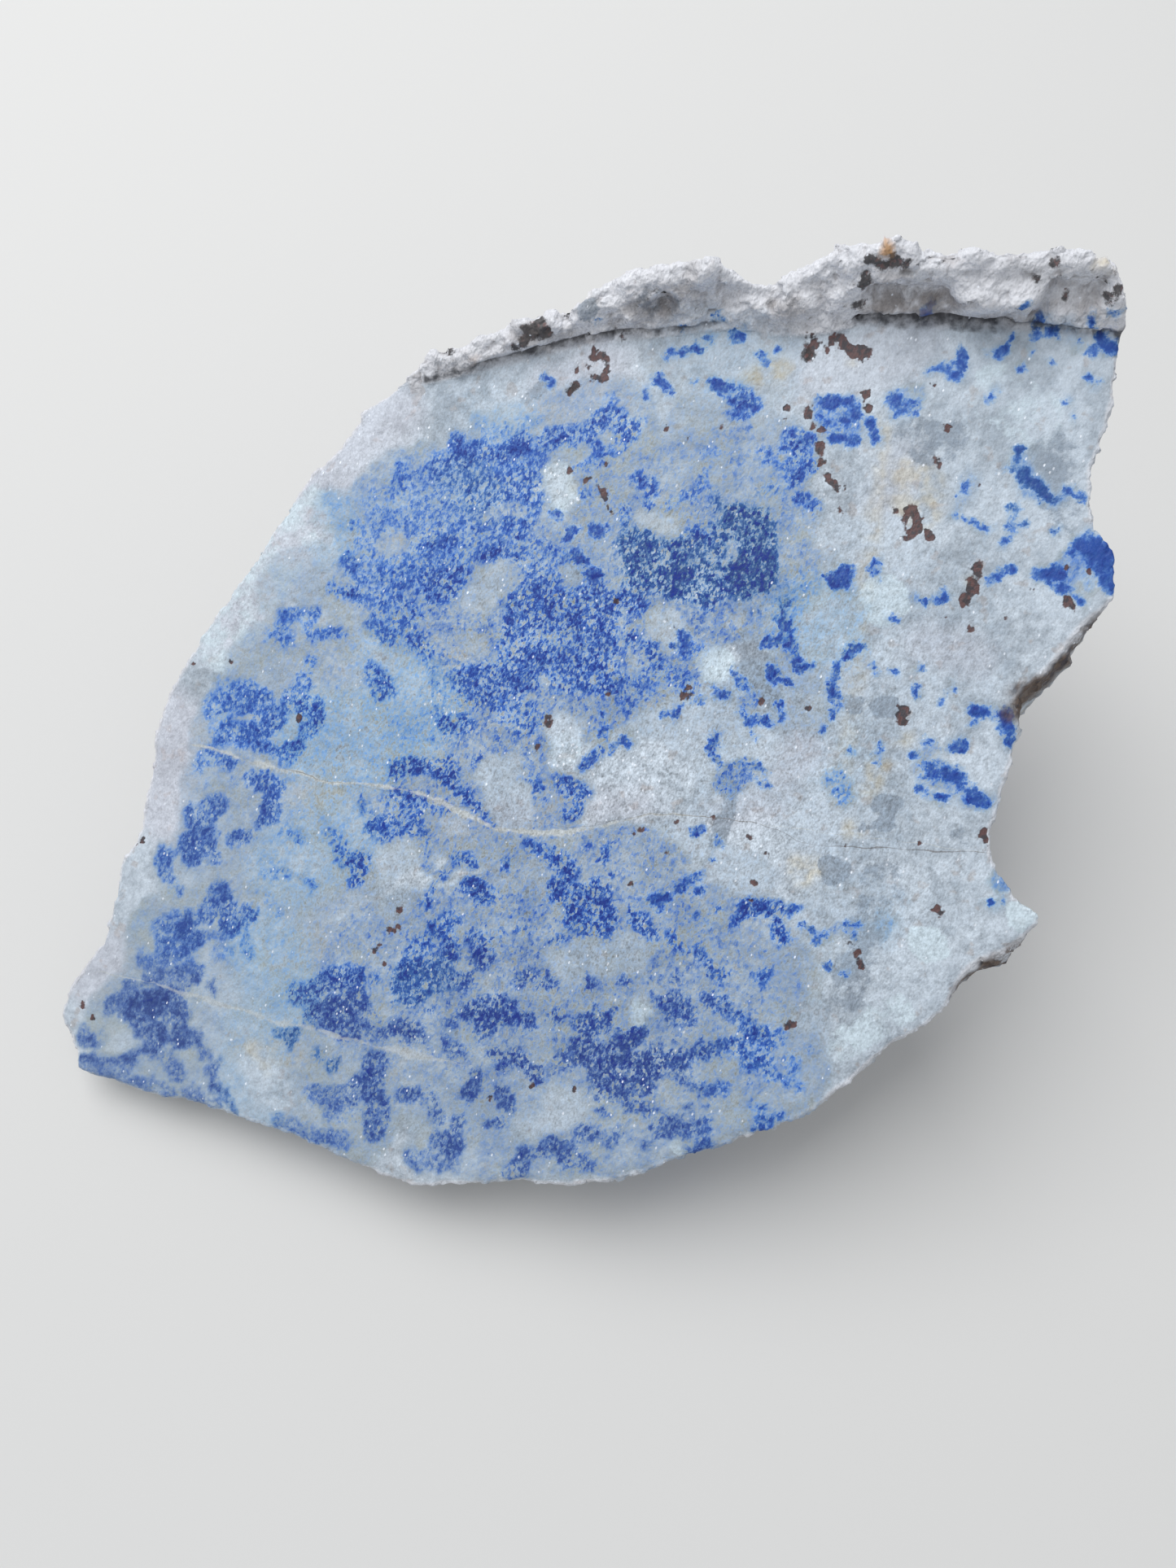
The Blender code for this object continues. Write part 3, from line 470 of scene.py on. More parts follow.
# %% Rust and soot
RUST = [
    (0.45, [(4, 44), (4.7, 44.5)]), (0.4, [(4.7, 46.3)]), (0.35, [(6.8, 48.9), (7, 48)]),
    (0.4, [(6.5, 47.8), (8.5, 47.5), (8.7, 46)]), (0.45, [(6.3, 46.5), (6.8, 45), (8.3, 44.8)]),
    (0.25, [(18.3, 40.1)]), (0.35, [(19, 36.3)]), (0.2, [(16.4, 38)]), (0.2, [(23, 37)]), (0.3, [(4.3, 35.5)]),
    (0.35, [(3.8, 34.2)]), (0.3, [(5.8, 32.8), (6.3, 32.9)]), (0.35, [(7.4, 31.7), (8.3, 30.7), (8.6, 29.5), (9.3, 28.3)]),
    (0.3, [(8.6, 34.3)]), (0.3, [(9.7, 17.5)]), (0.4, [(33.6, 46.5), (34.5, 45.8), (34, 44.5), (33.8, 43.7)]),
    (0.35, [(35, 45.3), (36.3, 44.3)]), (0.5, [(36.3, 45.3), (37.6, 45.8), (38, 44.6), (39, 43.8)]),
    (0.8, [(39.5, 43.6), (40.7, 43.6)]), (0.5, [(40.3, 42.5)]), (0.35, [(33.8, 38), (33.7, 36.8)]),
    (0.4, [(34.2, 35.8)]), (0.35, [(35.5, 35)]), (0.45, [(35, 33.5), (35.2, 32.5)]), (0.55, [(35.3, 31.3)]),
    (0.35, [(36, 30), (36.6, 28.6), (37, 28)]), (0.35, [(38.2, 28.3)]), (0.3, [(31, 38)]), (0.25, [(31, 37)]),
    (0.4, [(40, 38.7), (40.7, 38.5)]), (0.35, [(40.3, 37.7), (41, 37)]), (0.4, [(41, 36.8)]), (0.2, [(48.3, 39)]),
    (0.25, [(37.8, 25.5)]), (0.3, [(44.1, 24.6)]), (0.5, [(45.4, 24.2), (46.4, 24.4), (47, 23.3), (46.7, 22.2), (45.7, 21.9)]),
    (0.35, [(45.2, 22.8), (45.4, 23.8)]), (0.3, [(44.5, 21.6), (46, 21.3)]), (0.35, [(47.7, 21.8), (48.4, 21.2)]),
    (0.3, [(50.3, 33.6)]), (0.25, [(54, 31.5)]), (0.4, [(49.1, 30), (49.2, 29)]), (0.2, [(53.7, 26)]), (0.2, [(38.9, 23.5)]),
    (0.55, [(53.6, 16.8), (52.9, 15), (52.2, 13.3)]), (0.3, [(53, 17), (54, 17.3)]), (0.25, [(52.7, 10.1)]),
    (0.25, [(50, 11.8)]), (0.3, [(56.7, 10.9)]), (0.3, [(59.7, 13.8)]), (0.35, [(63.7, 16)]), (0.3, [(66, 15.5)]),
    (0.35, [(63.6, 12.4), (64.2, 11.6)]), (0.25, [(17.3, 13.9)]), (0.35, [(9.1, 6.7)]),
    (0.25, [(18.2, 5.4), (18.4, 6), (19, 6.2), (19.3, 5.5), (18.7, 5)]), (0.45, [(1.1, 4.2), (0.9, 3.4)]),
    (0.4, [(-0.6, 0.8)]), (0.3, [(28.3, 4)]), (0.2, [(33.6, 2.7)]), (0.55, [(44.9, 1.9), (45, 0.2)]), (0.4, [(45.7, 1)]),
    (0.4, [(54.3, -13.2), (54.6, -14.3)]), (0.3, [(46.7, -14)]), (0.25, [(38.5, -13.7)]), (0.3, [(28.8, -13.8), (29, -14.4)]),
    (0.25, [(26.5, -12)]), (0.25, [(22, -9.4)]), (0.35, [(13.2, -10.3)]), (0.2, [(12, -10.7)]), (0.25, [(17.5, -9.6)]),
    (0.2, [(16.4, -13.3)]), (0.35, [(11.7, -16.6)]), (0.3, [(27.3, -17.4)]), (0.25, [(27, -18.6)]), (0.25, [(26.7, -19.3)]),
    (0.55, [(48.8, -21.5), (49.2, -22)]), (0.35, [(38.8, -25.1)]), (0.35, [(39.8, -25.8), (39.5, -26.7), (40.2, -27.6)]),
    (0.55, [(31.4, -34.3)]), (0.45, [(4.1, -41), (4.5, -41.4)]), (0.3, [(-1.2, -40.8)]), (0.3, [(-7, -42.2)]),
    (0.3, [(-19.3, -18.2)]), (0.4, [(-20.7, -21), (-20.2, -21)]), (0.3, [(-19.1, -20.7)]), (0.35, [(-22.6, -23.3), (-22, -22.8)]),
    (0.2, [(-21.3, -25)]), (0.35, [(-33.5, 7)]), (0.45, [(-43.8, 15.3)]), (0.25, [(-49.3, 15.3)]),
    (0.3, [(-57.8, -7.7), (-56.5, -7.2)]), (0.4, [(-66, -29)]), (0.35, [(-64.5, -30.6)]),
]
SOOT = [
    (0.8, [(0.2, 50.2, 2.8), (-1.8, 49.9, 3.2)]), (0.4, [(-3.2, 49.4, 1.6)]),
    (0.5, [(39.6, 48.5, 8.0), (40.9, 48, 7.2)]), (0.5, [(40.9, 48, 7.1), (42.2, 48, 7.9)]), (0.35, [(43.5, 47.9, 7.4)]),
    (0.4, [(39.2, 47.9, 6.3), (39.3, 47.6, 5.5)]), (0.4, [(39, 47.1, 2.9)]), (0.6, [(39.6, 47, 0.8), (39.7, 46.8, 0)]),
    (0.7, [(0, 50.3, 3.3), (-2.2, 49.6, 2.4)]), (0.6, [(0.9, 49.8, 2.6)]), (0.6, [(-0.3, 51, 4.2)]),
    (0.35, [(66.5, 44.2, 6.3)]), (0.35, [(67.1, 42.9, 5.2)]), (0.35, [(66.5, 42.5, 4.2)]), (0.4, [(62.4, 43.3, 3.6)]),
    (0.4, [(57.8, 45, 6.3)]), (0.5, [(59.7, 45.4, 7.3)]), (0.35, [(10.6, 49.3, 0.6)]), (0.35, [(-12, 49.5, 2)]),
    (0.5, [(4, 44), (4.6, 44.3)]), (0.4, [(33.7, 44), (33.6, 46.3)]), (0.4, [(59.5, 2.3), (58, 1.2)]),
]
print(len(FLECKS) + len(LIP_FLECKS), "flecks,", len(RUST), "rust spots and", len(SOOT), "sooty ones")

# %% [markdown]
# ### Stains, glassy quartz, clean calcite and painted light
#
# Between the blue the marble isn't one white. Iron has stained it yellow in places, a few chips
# are glassy grey quartz, and clean calcite shows as smooth pale islands, with glints of mirror
# faces painted in as white specks. All three fade out softly, so they are written like the clouds.
# Painted shade is here too: a dark line along the lip's foot, and brown-grey, partly stain, on the
# lip's walls and on the side under the right rim.

# %% Stains, quartz, calcite, painted glints and painted shade
STAINS = [
    (0.9, 1.3, [(26.5, 42.3), (30.5, 42.8)]), (0.45, 3.0, [(46.5, 28), (47, 25)]), (0.6, 1.0, [(45.2, -1.7)]),
    (0.6, 1.3, [(42.5, -4.5), (41, -6.8)]), (0.7, 1.4, [(39.3, -12)]), (0.55, 2.0, [(33.3, -16)]),
    (0.6, 1.2, [(35.5, -16)]), (0.55, 1.9, [(-42, -35), (-38.5, -35)]), (0.75, 1.3, [(-35, -36.8), (-33, -36.5)]),
    (0.4, 1.5, [(-38, -37.3)]), (0.5, 0.8, [(-12.5, -31)]), (0.5, 0.9, [(-3, -35.8)]), (0.4, 1.2, [(-20, -38.5)]),
    (0.6, 0.9, [(4.9, 32.3)]), (0.5, 1.2, [(-20, 28)]), (0.6, 0.6, [(52.3, 15.7)]), (0.5, 0.8, [(38.9, 42.6)]),
    (0.4, 0.8, [(3, -31)]), (0.5, 1.0, [(-8.3, 14.3), (-7.6, 13.2)]), (0.5, 1.1, [(-12.5, 12.2), (-11.3, 12.7)]),
    (0.5, 1.2, [(6.5, 51, 4.8)]), (0.6, 1.5, [(65.4, 44.8, 6.9)]),
    (0.4, 1.0, [(43, 35), (37.5, -9)]), (0.4, 1.0, [(-3.8, -26)]), (0.35, 2.0, [(-29, -1.8), (-32, -4)]),
]
QUARTZ = [
    (0.9, 1.0, [(42.5, -8.8), (44.3, -9.3)]), (0.9, 0.9, [(43.3, -10.5), (42.8, -11.8)]), (0.8, 0.8, [(41, -11.5)]),
    (0.7, 1.3, [(36.5, -15.7), (38.2, -16.5)]), (0.8, 0.8, [(36.5, -17.8)]), (0.9, 0.9, [(-1.3, -16.5), (-1.3, -19)]),
    (0.9, 0.7, [(14.3, -33.6)]), (0.6, 1.7, [(43, 2)]), (0.7, 0.9, [(-3, -41)]), (0.7, 0.8, [(-11.8, -34.5)]),
    (0.6, 0.7, [(25.7, -43.8)]), (0.5, 1.3, [(4.5, 21.3)]), (0.35, 1.5, [(51.5, -13.2)]), (0.5, 1.6, [(39, 2.5)]),
    (0.45, 1.6, [(6, 50.5, 4)]), (0.28, 2.0, [(14, 50, 4), (16, 49.8, 4.5)]), (0.5, 2.0, [(29, 5), (26, 11)]),
    (0.35, 3.0, [(50, 32), (46, 33)]), (0.3, 3.0, [(62, 30), (64, 21)]), (0.35, 2.4, [(24, 14), (29, 17)]),
    (0.5, 1.5, [(24, -6), (23, -12)]), (0.35, 3.0, [(38, -31), (43, -18)]), (0.5, 1.0, [(0.5, 45), (-2.5, 43.5)]),
]
CALCITE = [
    (0.9, 2.2, [(2, 33.5), (2.7, 31)]), (1.0, 2.2, [(22.3, 8.8)]), (0.8, 3.0, [(43, 14.5)]), (0.7, 2.6, [(48, -25.5)]),
    (0.7, 2.0, [(58.5, -22.5)]), (0.8, 1.3, [(12.3, -32.3), (13.5, -33)]), (0.7, 1.3, [(17.7, -48.3)]),
    (0.6, 2.5, [(3, 0.5)]), (0.2, 3.0, [(13.5, -3.5)]), (0.32, 4.0, [(56, 37), (60, 33)]), (0.4, 4.0, [(-32, 33), (-45, 17)]),
    (0.4, 2.5, [(38, -37), (44, -33)]),
]
# Patches where more grains get a painted glint
PAINTED_GLINT_PATCHES = [
    (1.0, 2.0, [(3, 1.3), (3, -0.8)]), (1.0, 1.1, [(13.3, -2), (13.3, -4), (14.8, -6)]), (0.8, 2.0, [(2, 33.5), (1.5, 32)]),
    (1.0, 1.0, [(4.4, 30)]), (0.9, 1.2, [(-12, 6.5)]), (1.0, 0.5, [(7.2, 46)]), (1.0, 0.5, [(46.8, 35.5)]),
    (0.9, 0.8, [(52, 27.3)]), (0.8, 0.5, [(-55, -6.2)]), (0.7, 0.8, [(-62, -18.5)]), (0.8, 0.6, [(-63, -33.7)]),
]
PINK = [
    (0.5, 5.0, [(-29, 38), (-44, 20)]), (0.6, 4.5, [(-52, 8), (-53, -4)]), (0.5, 4.0, [(-62, -23), (-65, -25)]),
    (0.5, 4.0, [(-20, 44), (-26, 41)]), (0.5, 4.0, [(2, 44), (8, 46)]), (0.5, 2.5, [(33, -2), (31, -5)]),
    (0.3, 4.0, [(46, 44), (36, 41)]), (0.4, 2.5, [(48, 9), (53, 7)]), (0.4, 2.5, [(24, -9), (29, -8)]),
    (0.4, 2.0, [(-12, -8), (13, -7)]), (0.3, 2.0, [(-30, -22), (-35, -24)]), (0.3, 2.5, [(45, 31), (43, 26)]),
]
TEAL = [
    (1.0, 4.5, [(26, 26), (28, 18)]), (0.9, 4.5, [(13, 23), (20, 20)]), (0.8, 2.5, [(-35.5, -34), (-29.5, -37.5)]),
    (0.6, 4.0, [(59, 28), (60, 24)]), (0.5, 3.0, [(-19, -28), (-14, -27)]), (0.5, 3.0, [(-11, 35), (-8, 32)]),
]
SKY_TINT = [
    (0.9, 7.0, [(-30, 4), (-24, 3), (-17, 7)]), (0.8, 6.0, [(-38, -23), (-36, -28)]), (0.7, 6.0, [(-35, -12), (-28, -8)]),
    (0.8, 3.0, [(-28.5, 34), (-29, 29)]), (0.8, 5.0, [(34, 14), (37, 12)]), (0.6, 4.0, [(-14, 9), (-22, 14)]),
    (0.7, 3.0, [(39, -2), (38, -6)]), (0.7, 3.0, [(54, -20), (44, -23)]), (0.6, 5.0, [(-40, -33), (-40, -42)]),
    (0.6, 4.0, [(22, 47), (24, 44)]), (0.6, 3.0, [(-3, 42), (-8, 43)]),
]
INDIGO = [
    (1.0, 14, [(-60, -34), (-44, -38)]), (0.8, 12, [(-30, -38), (-12, -44), (10, -44)]), (0.6, 10, [(-6, -32), (14, -34)]),
    (0.5, 8, [(-50, -18), (-44, -6)]),
]
# Painted shade: a thin dark line along the foot of the lip, where the groove under it lies in shadow. (half-width,
# path)
CREASE_SHADOW = [
    (0.05, [(-15.5, 47.5), (-8, 48.1), (-3, 48.6)]), (0.25, [(-3, 48.6), (1, 49.1), (6, 49.6), (12, 49.5)]),
    (0.10, [(12, 49.5), (15.5, 49.1), (26.5, 49.1), (30.5, 48.6)]),
    (0.45, [(39.8, 47.1), (48, 45.6), (55.5, 44.1)]), (0.20, [(55.5, 44.1), (59, 43.6), (65.5, 42.1), (69.3, 41.1)]),
]
# Brown-grey on the lip's walls: partly a stain in the rock, partly painted shade on the walls that face away from the
# window. (strength, half-width, path)
WALL_STAIN_AND_SHADE = [
    (0.9, 1.8, [(40.5, 47.8, 2.2), (49, 46.6, 2.4)]), (0.7, 1.8, [(41, 48.5, 4.5), (47, 47.5, 4.6)]),
    (0.5, 1.2, [(50, 45.8, 1.6), (58, 44.6, 1.4)]), (0.6, 1.8, [(60.8, 44.2, 3.0), (65, 43.4, 3.4)]),
    (0.5, 1.2, [(-3, 50, 2.2), (4, 50.3, 1.6)]), (0.55, 2.0, [(12, 50.3, 2.4), (19, 50.4, 4.6)]),
    (0.45, 1.6, [(30, 48.8, 2.0), (35, 48.8, 3.0)]), (0.25, 1.2, [(-12, 48.3, 0.8), (-6, 49, 1.2)]),
    (0.4, 1.5, [(19, 51, 6.2)]),
]
OCHRE_SPOTS = [
    (1.0, 0.8, [(41, 48.8, 8.5), (41.4, 48.6, 7.6)]), (0.5, 0.6, [(-0.3, 51, 4.6)]), (0.5, 0.5, [(66.4, 44.4, 6.6)]),
    (0.6, 0.5, [(-9.5, 48.9, 0.9), (-7.8, 49, 1.0)]), (0.4, 0.4, [(36.6, 45)]),
]
# Dark brown on the broken side just under the right rim: weathering, darkened further as painted shade under the
# overhang
EARTH_AND_SHADE = [
    (1.0, 1.7, [(57.8, 1.0, -2.2), (62.5, 5.5, -2.4), (68, 11.5, -2.6)]),
    (1.0, 1.7, [(51, -30, -2.4), (56, -27, -2.4), (61, -25, -2.4)]), (0.8, 0.8, [(57.5, 2.6, -0.3), (59.6, 3.2, -0.4)]),
]
print(len(STAINS), "stains,", len(QUARTZ), "quartz chips and", len(CALCITE), "calcite islands")

# %% [markdown]
# ### Veins and cracks
#
# A vein is a healed crack: a thin sheet of cream calcite that runs right through the stone. It
# shows on the face as a line, and it goes on down the broken sides. So a vein is drawn as a line
# across the face, and each point of the stone then knows how far back or forward of it it lies.
# The sign of that distance is kept, because a thin line stays sharp only if the number changes
# sign on it. The third number of each point is the line's width there.

# %% Veins and cracks
LONG_VEIN = [
    (-52, 5.2, 0.05), (-50, 4.8, 0.3), (-46, 4.0, 0.6), (-43, 2.8, 0.9), (-41, 2.0, 1.1), (-38, 1.2, 1.0),
    (-35, 0.4, 0.7), (-32, -0.6, 0.4), (-29, -1.6, 0.5), (-24, -2.2, 0.5), (-20, -3.0, 0.7), (-16, -4.0, 0.8),
    (-13, -5.5, 0.8), (-9.5, -7.3, 0.7), (-6, -8.8, 0.7), (-2, -9.7, 0.9), (3, -9.9, 0.8), (9, -9.3, 0.6),
    (14, -8.4, 0.4), (19, -8.8, 0.2), (22.5, -9.4, 0.05), (28, -10.6, 0.05), (56, -15.5, 0.05),
]
LONG_CRACK = [
    (-37, 1.3, 0.02), (-34.5, 0.3, 0.08), (-32, -0.5, 0.06), (-30, -1.1, 0.02), (4, -9.5, 0.02), (8, -9.1, 0.04),
    (14, -8.4, 0.05), (19, -8.8, 0.04), (22.5, -9.4, 0.06), (28, -10.6, 0.05), (30.5, -11.6, 0.03), (33, -13.0, 0.03),
    (36, -13.5, 0.05), (40, -13.8, 0.09), (44, -14.3, 0.10), (48, -14.8, 0.07), (53, -15.0, 0.04), (56, -15.5, 0.03),
]
SHORT_VEIN = [
    (-64, -24.5, 0.05), (-60, -25.3, 0.3), (-55, -26.4, 0.5), (-50, -28.0, 0.6), (-45, -29.6, 0.7), (-40, -30.6, 0.7),
    (-36, -32.0, 0.7), (-32, -33.0, 0.6), (-28, -33.8, 0.6), (-23, -35.4, 0.9), (-17, -36.6, 0.9), (-13, -37.6, 0.5),
    (-8, -38.5, 0.05),
]


def behind_line(at, line):
    """How many line widths each point lies behind a vein or crack, never more than 30."""
    across, back, width = np.array(line).T
    behind = at[:, 1] - np.interp(at[:, 0], across, back)
    return np.clip(behind / np.interp(at[:, 0], across, width), -30, 30)


print("the long vein runs", round(LONG_VEIN[-1][0] - LONG_VEIN[0][0]), "mm")

# %% [markdown]
# ## Finer where it matters
#
# The lip, the rim and the sharp marks need smaller squares than the plain rock. Cutting every
# square in four would pass a sensible size for one piece, so only the squares near those places
# are cut.

# %% Cut the squares near marks, lip and rim
LIP_FROM = 0.25
RIM_BAND = (-1.6, -0.15)
SHARP_REACH = 0.7


def centres_of(mesh):
    """The middle of every face of a mesh, in mm."""
    flat = np.empty(len(mesh.polygons) * 3)
    mesh.polygons.foreach_get("center", flat)
    return flat.reshape(-1, 3) / MM


def near_strokes(at, strokes, reach):
    """True for each point that lies within reach of the edge of any stroke."""
    near = np.zeros(len(at), bool)
    for width, path in strokes:
        near |= away_from(at, path) < width + reach
    return near


middles = centres_of(skin)
lifts = over_face(middles)
fine = (lifts > LIP_FROM) | ((lifts > RIM_BAND[0]) & (lifts < RIM_BAND[1]))
fine |= near_strokes(middles, FLECKS + LIP_FLECKS + RUST + SOOT + CREASE_SHADOW, SHARP_REACH) & (lifts > RIM_BAND[0])
sheet = bmesh.new()
sheet.from_mesh(skin)
sheet.faces.ensure_lookup_table()
cut = {edge for face, wanted in zip(sheet.faces, fine) if wanted for edge in face.edges}
bmesh.ops.subdivide_edges(sheet, edges=list(cut), cuts=1, use_grid_fill=True)
bmesh.ops.triangulate(sheet, faces=[face for face in sheet.faces if len(face.verts) > 4])
sheet.to_mesh(skin)
sheet.free()
skin.calc_loop_triangles()
print("finer skin:", len(skin.loop_triangles), "triangles")

# %% [markdown]
# ## Broken surface
#
# Broken marble isn't smooth noise. It has three scales: lumps the size of a fingertip, splinters the
# size of its crystals, and grit. The splinters come from a Voronoi pattern: each cell is a crystal
# that broke along a plane of its own. All of it fades to nothing on the sawn face.

# %% Noise on the stone
def wander(at, size):
    """A smooth random vector for each point, between -1 and 1, that changes over size mm."""
    return np.array([noise.noise_vector(point) for point in (at / size).tolist()])


def swell(at, size, start=0.0):
    """A smooth random number for each point, between -1 and 1, that changes over size mm."""
    return np.array([noise.noise(point) for point in (at / size + start).tolist()])


def splinters(at, size):
    """How high each point stands, in mm, when every crystal breaks along its own tilted plane."""
    heights = []
    for point in map(Vector, (at / size).tolist()):
        centre = noise.voronoi(point)[1][0]
        tilt = noise.cell_vector(centre * 9) * 2 - Vector((1, 1, 1))
        heights.append((point - centre).dot(tilt) * size)
    return np.array(heights)


def normals_of(mesh):
    """The outward direction at every corner of a mesh."""
    flat = np.empty(len(mesh.vertices) * 3)
    mesh.vertices.foreach_get("normal", flat)
    return flat.reshape(-1, 3)


at = points_of(skin)
outward = normals_of(skin)
lift = over_face(at)
facing = outward @ np.array(face_normal)
sawn = smooth((facing - 0.80) / 0.15) * smooth((0.55 - np.abs(lift)) / 0.35)
broken = 1 - sawn
print("sawn:", int(sawn.sum()), "of", len(sawn), "corners")

# %% [markdown]
# The lip has large forms of its own: a groove undercut along its foot, a chunk that bulges over
# the face, and a hollow to the right of the chunk. Each is a soft push: a centre line, a reach,
# and how far the rock moves, all in millimetres.

# %% Shape the lip
PUSHES = [
    ([(-8, 48.2, 0.3), (-2, 48.8, 0.3), (6, 49.6, 0.3), (13, 49.4, 0.3)], 1.3, (0, 1.2, -0.2)),
    ([(14, 49.3, 0.3), (26, 49.1, 0.3)], 0.9, (0, 0.6, -0.1)),
    ([(40, 47.1, 0.3), (48, 45.7, 0.3), (56, 44.1, 0.3)], 1.5, (0, 2.0, -0.2)),
    ([(57, 43.9, 0.3), (68, 41.5, 0.3)], 1.0, (0, 0.8, -0.1)),
    ([(41, 48.1, 3.4), (48, 47.0, 3.6)], 2.6, (0.1, 1.7, 0)),
    ([(51.5, 45.6, 3.6), (57.5, 44.8, 4.0)], 3.0, (0, -1.9, 0.3)),
    ([(61.8, 44.2, 3.8), (65.0, 43.6, 4.0)], 3.0, (0, 2.0, 0.1)),
    ([(60.0, 43.8, 1.5), (60.5, 44.5, 5.0)], 1.2, (0.2, 1.3, 0)),
    ([(38.9, 48.0, 1.0), (39.4, 48.6, 6.0)], 1.0, (0.2, 1.3, 0)),
    ([(29, 48.0, 2.2), (33, 48.2, 2.5)], 2.4, (0, -0.9, 0.7)),
    ([(24, 49.5, 3.5), (27, 49.0, 4.5)], 2.0, (0, 0.9, -0.3)),
    ([(21, 50.8, 6.0)], 3.0, (0, -0.9, 1.2)), ([(9, 51.3, 5.5)], 2.4, (0, 0.3, -1.1)),
    ([(15.5, 50.2, 3.6)], 2.2, (0, 1.2, -0.3)), ([(11.5, 50.0, 2.6)], 1.6, (0, -0.8, 0.4)),
    ([(-2.5, 50.5, 3.3)], 1.6, (0, -0.4, 0.7)), ([(3.5, 50.6, 3.8)], 2.0, (0, 0.5, -0.8)),
    ([(46, 48.5, 8.0), (49, 48.0, 8.0)], 2.2, (0, 0.3, -1.0)), ([(55, 47, 7.4)], 2.6, (0, -0.4, 0.7)),
]

pushed = at.copy()
for path, reach, move in PUSHES:
    pushed += smooth(1 - away_from(at, path) / reach)[:, None] * np.array(move) * broken[:, None]
print(len(PUSHES), "pushes, the largest", round(np.linalg.norm(pushed - at, axis=1).max(), 2), "mm")

# %% Lumps, crumbs and grit
LUMP_SIZE, LUMP_HEIGHT = 5.5, 0.60
KNOB_SIZE, KNOB_HEIGHT = 2.4, 0.50
CHUNK_SIZE, CHUNK_TILT = 2.6, 0.26
SHARD_SIZE, SHARD_TILT = 1.15, 0.24
GRIT_SIZE, GRIT_HEIGHT = 0.85, 0.22
LIP_EXTRA = 0.10
RIM_CALM = 0.45
FACE_WAVE_SIZE, FACE_WAVE_HEIGHT = 1.3, 0.06
CRACK_DEPTH = 0.15

on_lip = smooth(lift / 1.2) * broken
rough = (
    swell(at, LUMP_SIZE) * LUMP_HEIGHT
    + swell(at, KNOB_SIZE, 7.0) * KNOB_HEIGHT
    + swell(at, GRIT_SIZE, 3.0) * GRIT_HEIGHT
    + splinters(at, CHUNK_SIZE) * CHUNK_TILT
    + splinters(at, SHARD_SIZE) * SHARD_TILT
)
rough *= 0.8 + LIP_EXTRA * on_lip
rough *= 1 - RIM_CALM * smooth(1 - np.abs(lift + 0.7) / 2.0)
calm = swell(at, FACE_WAVE_SIZE) * FACE_WAVE_HEIGHT
crack = smooth(1.3 - np.abs(behind_line(at, LONG_CRACK)) * 0.4) * smooth((at[:, 0] - 18) / 6)
height = broken * rough + sawn * (calm - crack * CRACK_DEPTH)
shaped = pushed + outward * height[:, None]
resting = at[:, 2] < 0.3
shaped[:, 2] = np.where(resting, np.maximum(at[:, 2], 0), np.maximum(shaped[:, 2], 0.05))
skin.vertices.foreach_set("co", (shaped * MM).ravel())
skin.update()
print("moved by up to", round(np.linalg.norm(shaped - at, axis=1).max(), 2), "mm")

# %% [markdown]
# ## From strokes to fields
#
# The paint can't read the strokes, but it can read numbers stored on the mesh. Each kind of mark
# becomes one such number: a density for the soft ones, and for the sharp ones the distance to the
# edge, negative inside. The points are first nudged about by noise, so that no edge stays a
# perfect round brush stroke.

# %% Store the fields
EDGE_WANDER = (3.2, 0.9)
EDGE_RAG = (1.2, 0.45)
SHARP_RAG = (0.9, 0.28)
CLOUD_FADE = 1.3
SOFT_FADE = 1.5
CREASE_SHADOW_HEIGHT = 0.9

strayed = at + wander(at, EDGE_WANDER[0]) * EDGE_WANDER[1] + wander(at, EDGE_RAG[0]) * EDGE_RAG[1]
ragged = at + wander(at, SHARP_RAG[0]) * SHARP_RAG[1]


def spread(strokes, fade):
    """The strongest of many soft strokes at each point of the stone."""
    most = np.zeros(len(at))
    for strength, width, path in strokes:
        inside = (width - away_from(strayed, path)) / fade + 0.5
        most = np.maximum(most, strength * smooth(inside))
    return most


def edge_of(strokes, seen_from=ragged):
    """Distance in mm to the edge of the nearest sharp stroke, negative inside it."""
    nearest = np.full(len(at), 9.0)
    for width, path in strokes:
        nearest = np.minimum(nearest, away_from(seen_from, path) - width)
    return nearest


def store(name, values):
    """Keep one number for each corner of the mesh, for the paint to read."""
    field = skin.attributes.new(name, "FLOAT", "POINT")
    field.data.foreach_set("value", values.astype(np.float32))


# Away from the face the strokes fade, and patches inside the rock take over
DEEP_FROM, DEEP_TO = -1.5, -9.0
deep = smooth((lift - DEEP_FROM) / (DEEP_TO - DEEP_FROM))
patches = smooth(swell(at, 15, 2.0) * 1.6 + swell(at, 6, 4.0) * 0.8 + 0.45)
halos = [(0.40, width + FLECK_HALO, path) for width, path in FLECKS]
drawn = np.maximum(spread(CLOUDS, CLOUD_FADE), spread(halos, CLOUD_FADE))
for strength, width, path in GAPS:
    drawn *= 1 - strength * smooth((width - away_from(strayed, path)) / SOFT_FADE + 0.5)
blue = np.maximum(drawn, deep * patches * 0.8)
store("blue", blue)
store("fleck", edge_of(FLECKS + LIP_FLECKS))
store("rust", edge_of(RUST))
store("soot", edge_of(SOOT))
# The painted shadow line at the lip's foot is measured straight across the face, and only close to it
flattened = at - np.outer(lift, (0, 0, 1))
store("crease_shadow", np.maximum(edge_of(CREASE_SHADOW, flattened), np.abs(lift) - CREASE_SHADOW_HEIGHT))
store("stain", spread(STAINS, SOFT_FADE))
store("quartz", spread(QUARTZ, 1.6))
store("earth_and_shade", spread(EARTH_AND_SHADE, 1.5))
store("indigo", spread(INDIGO, 8.0))
store("wall_stain_and_shade", spread(WALL_STAIN_AND_SHADE, 2.0))
store("ochre", spread(OCHRE_SPOTS, 0.8))
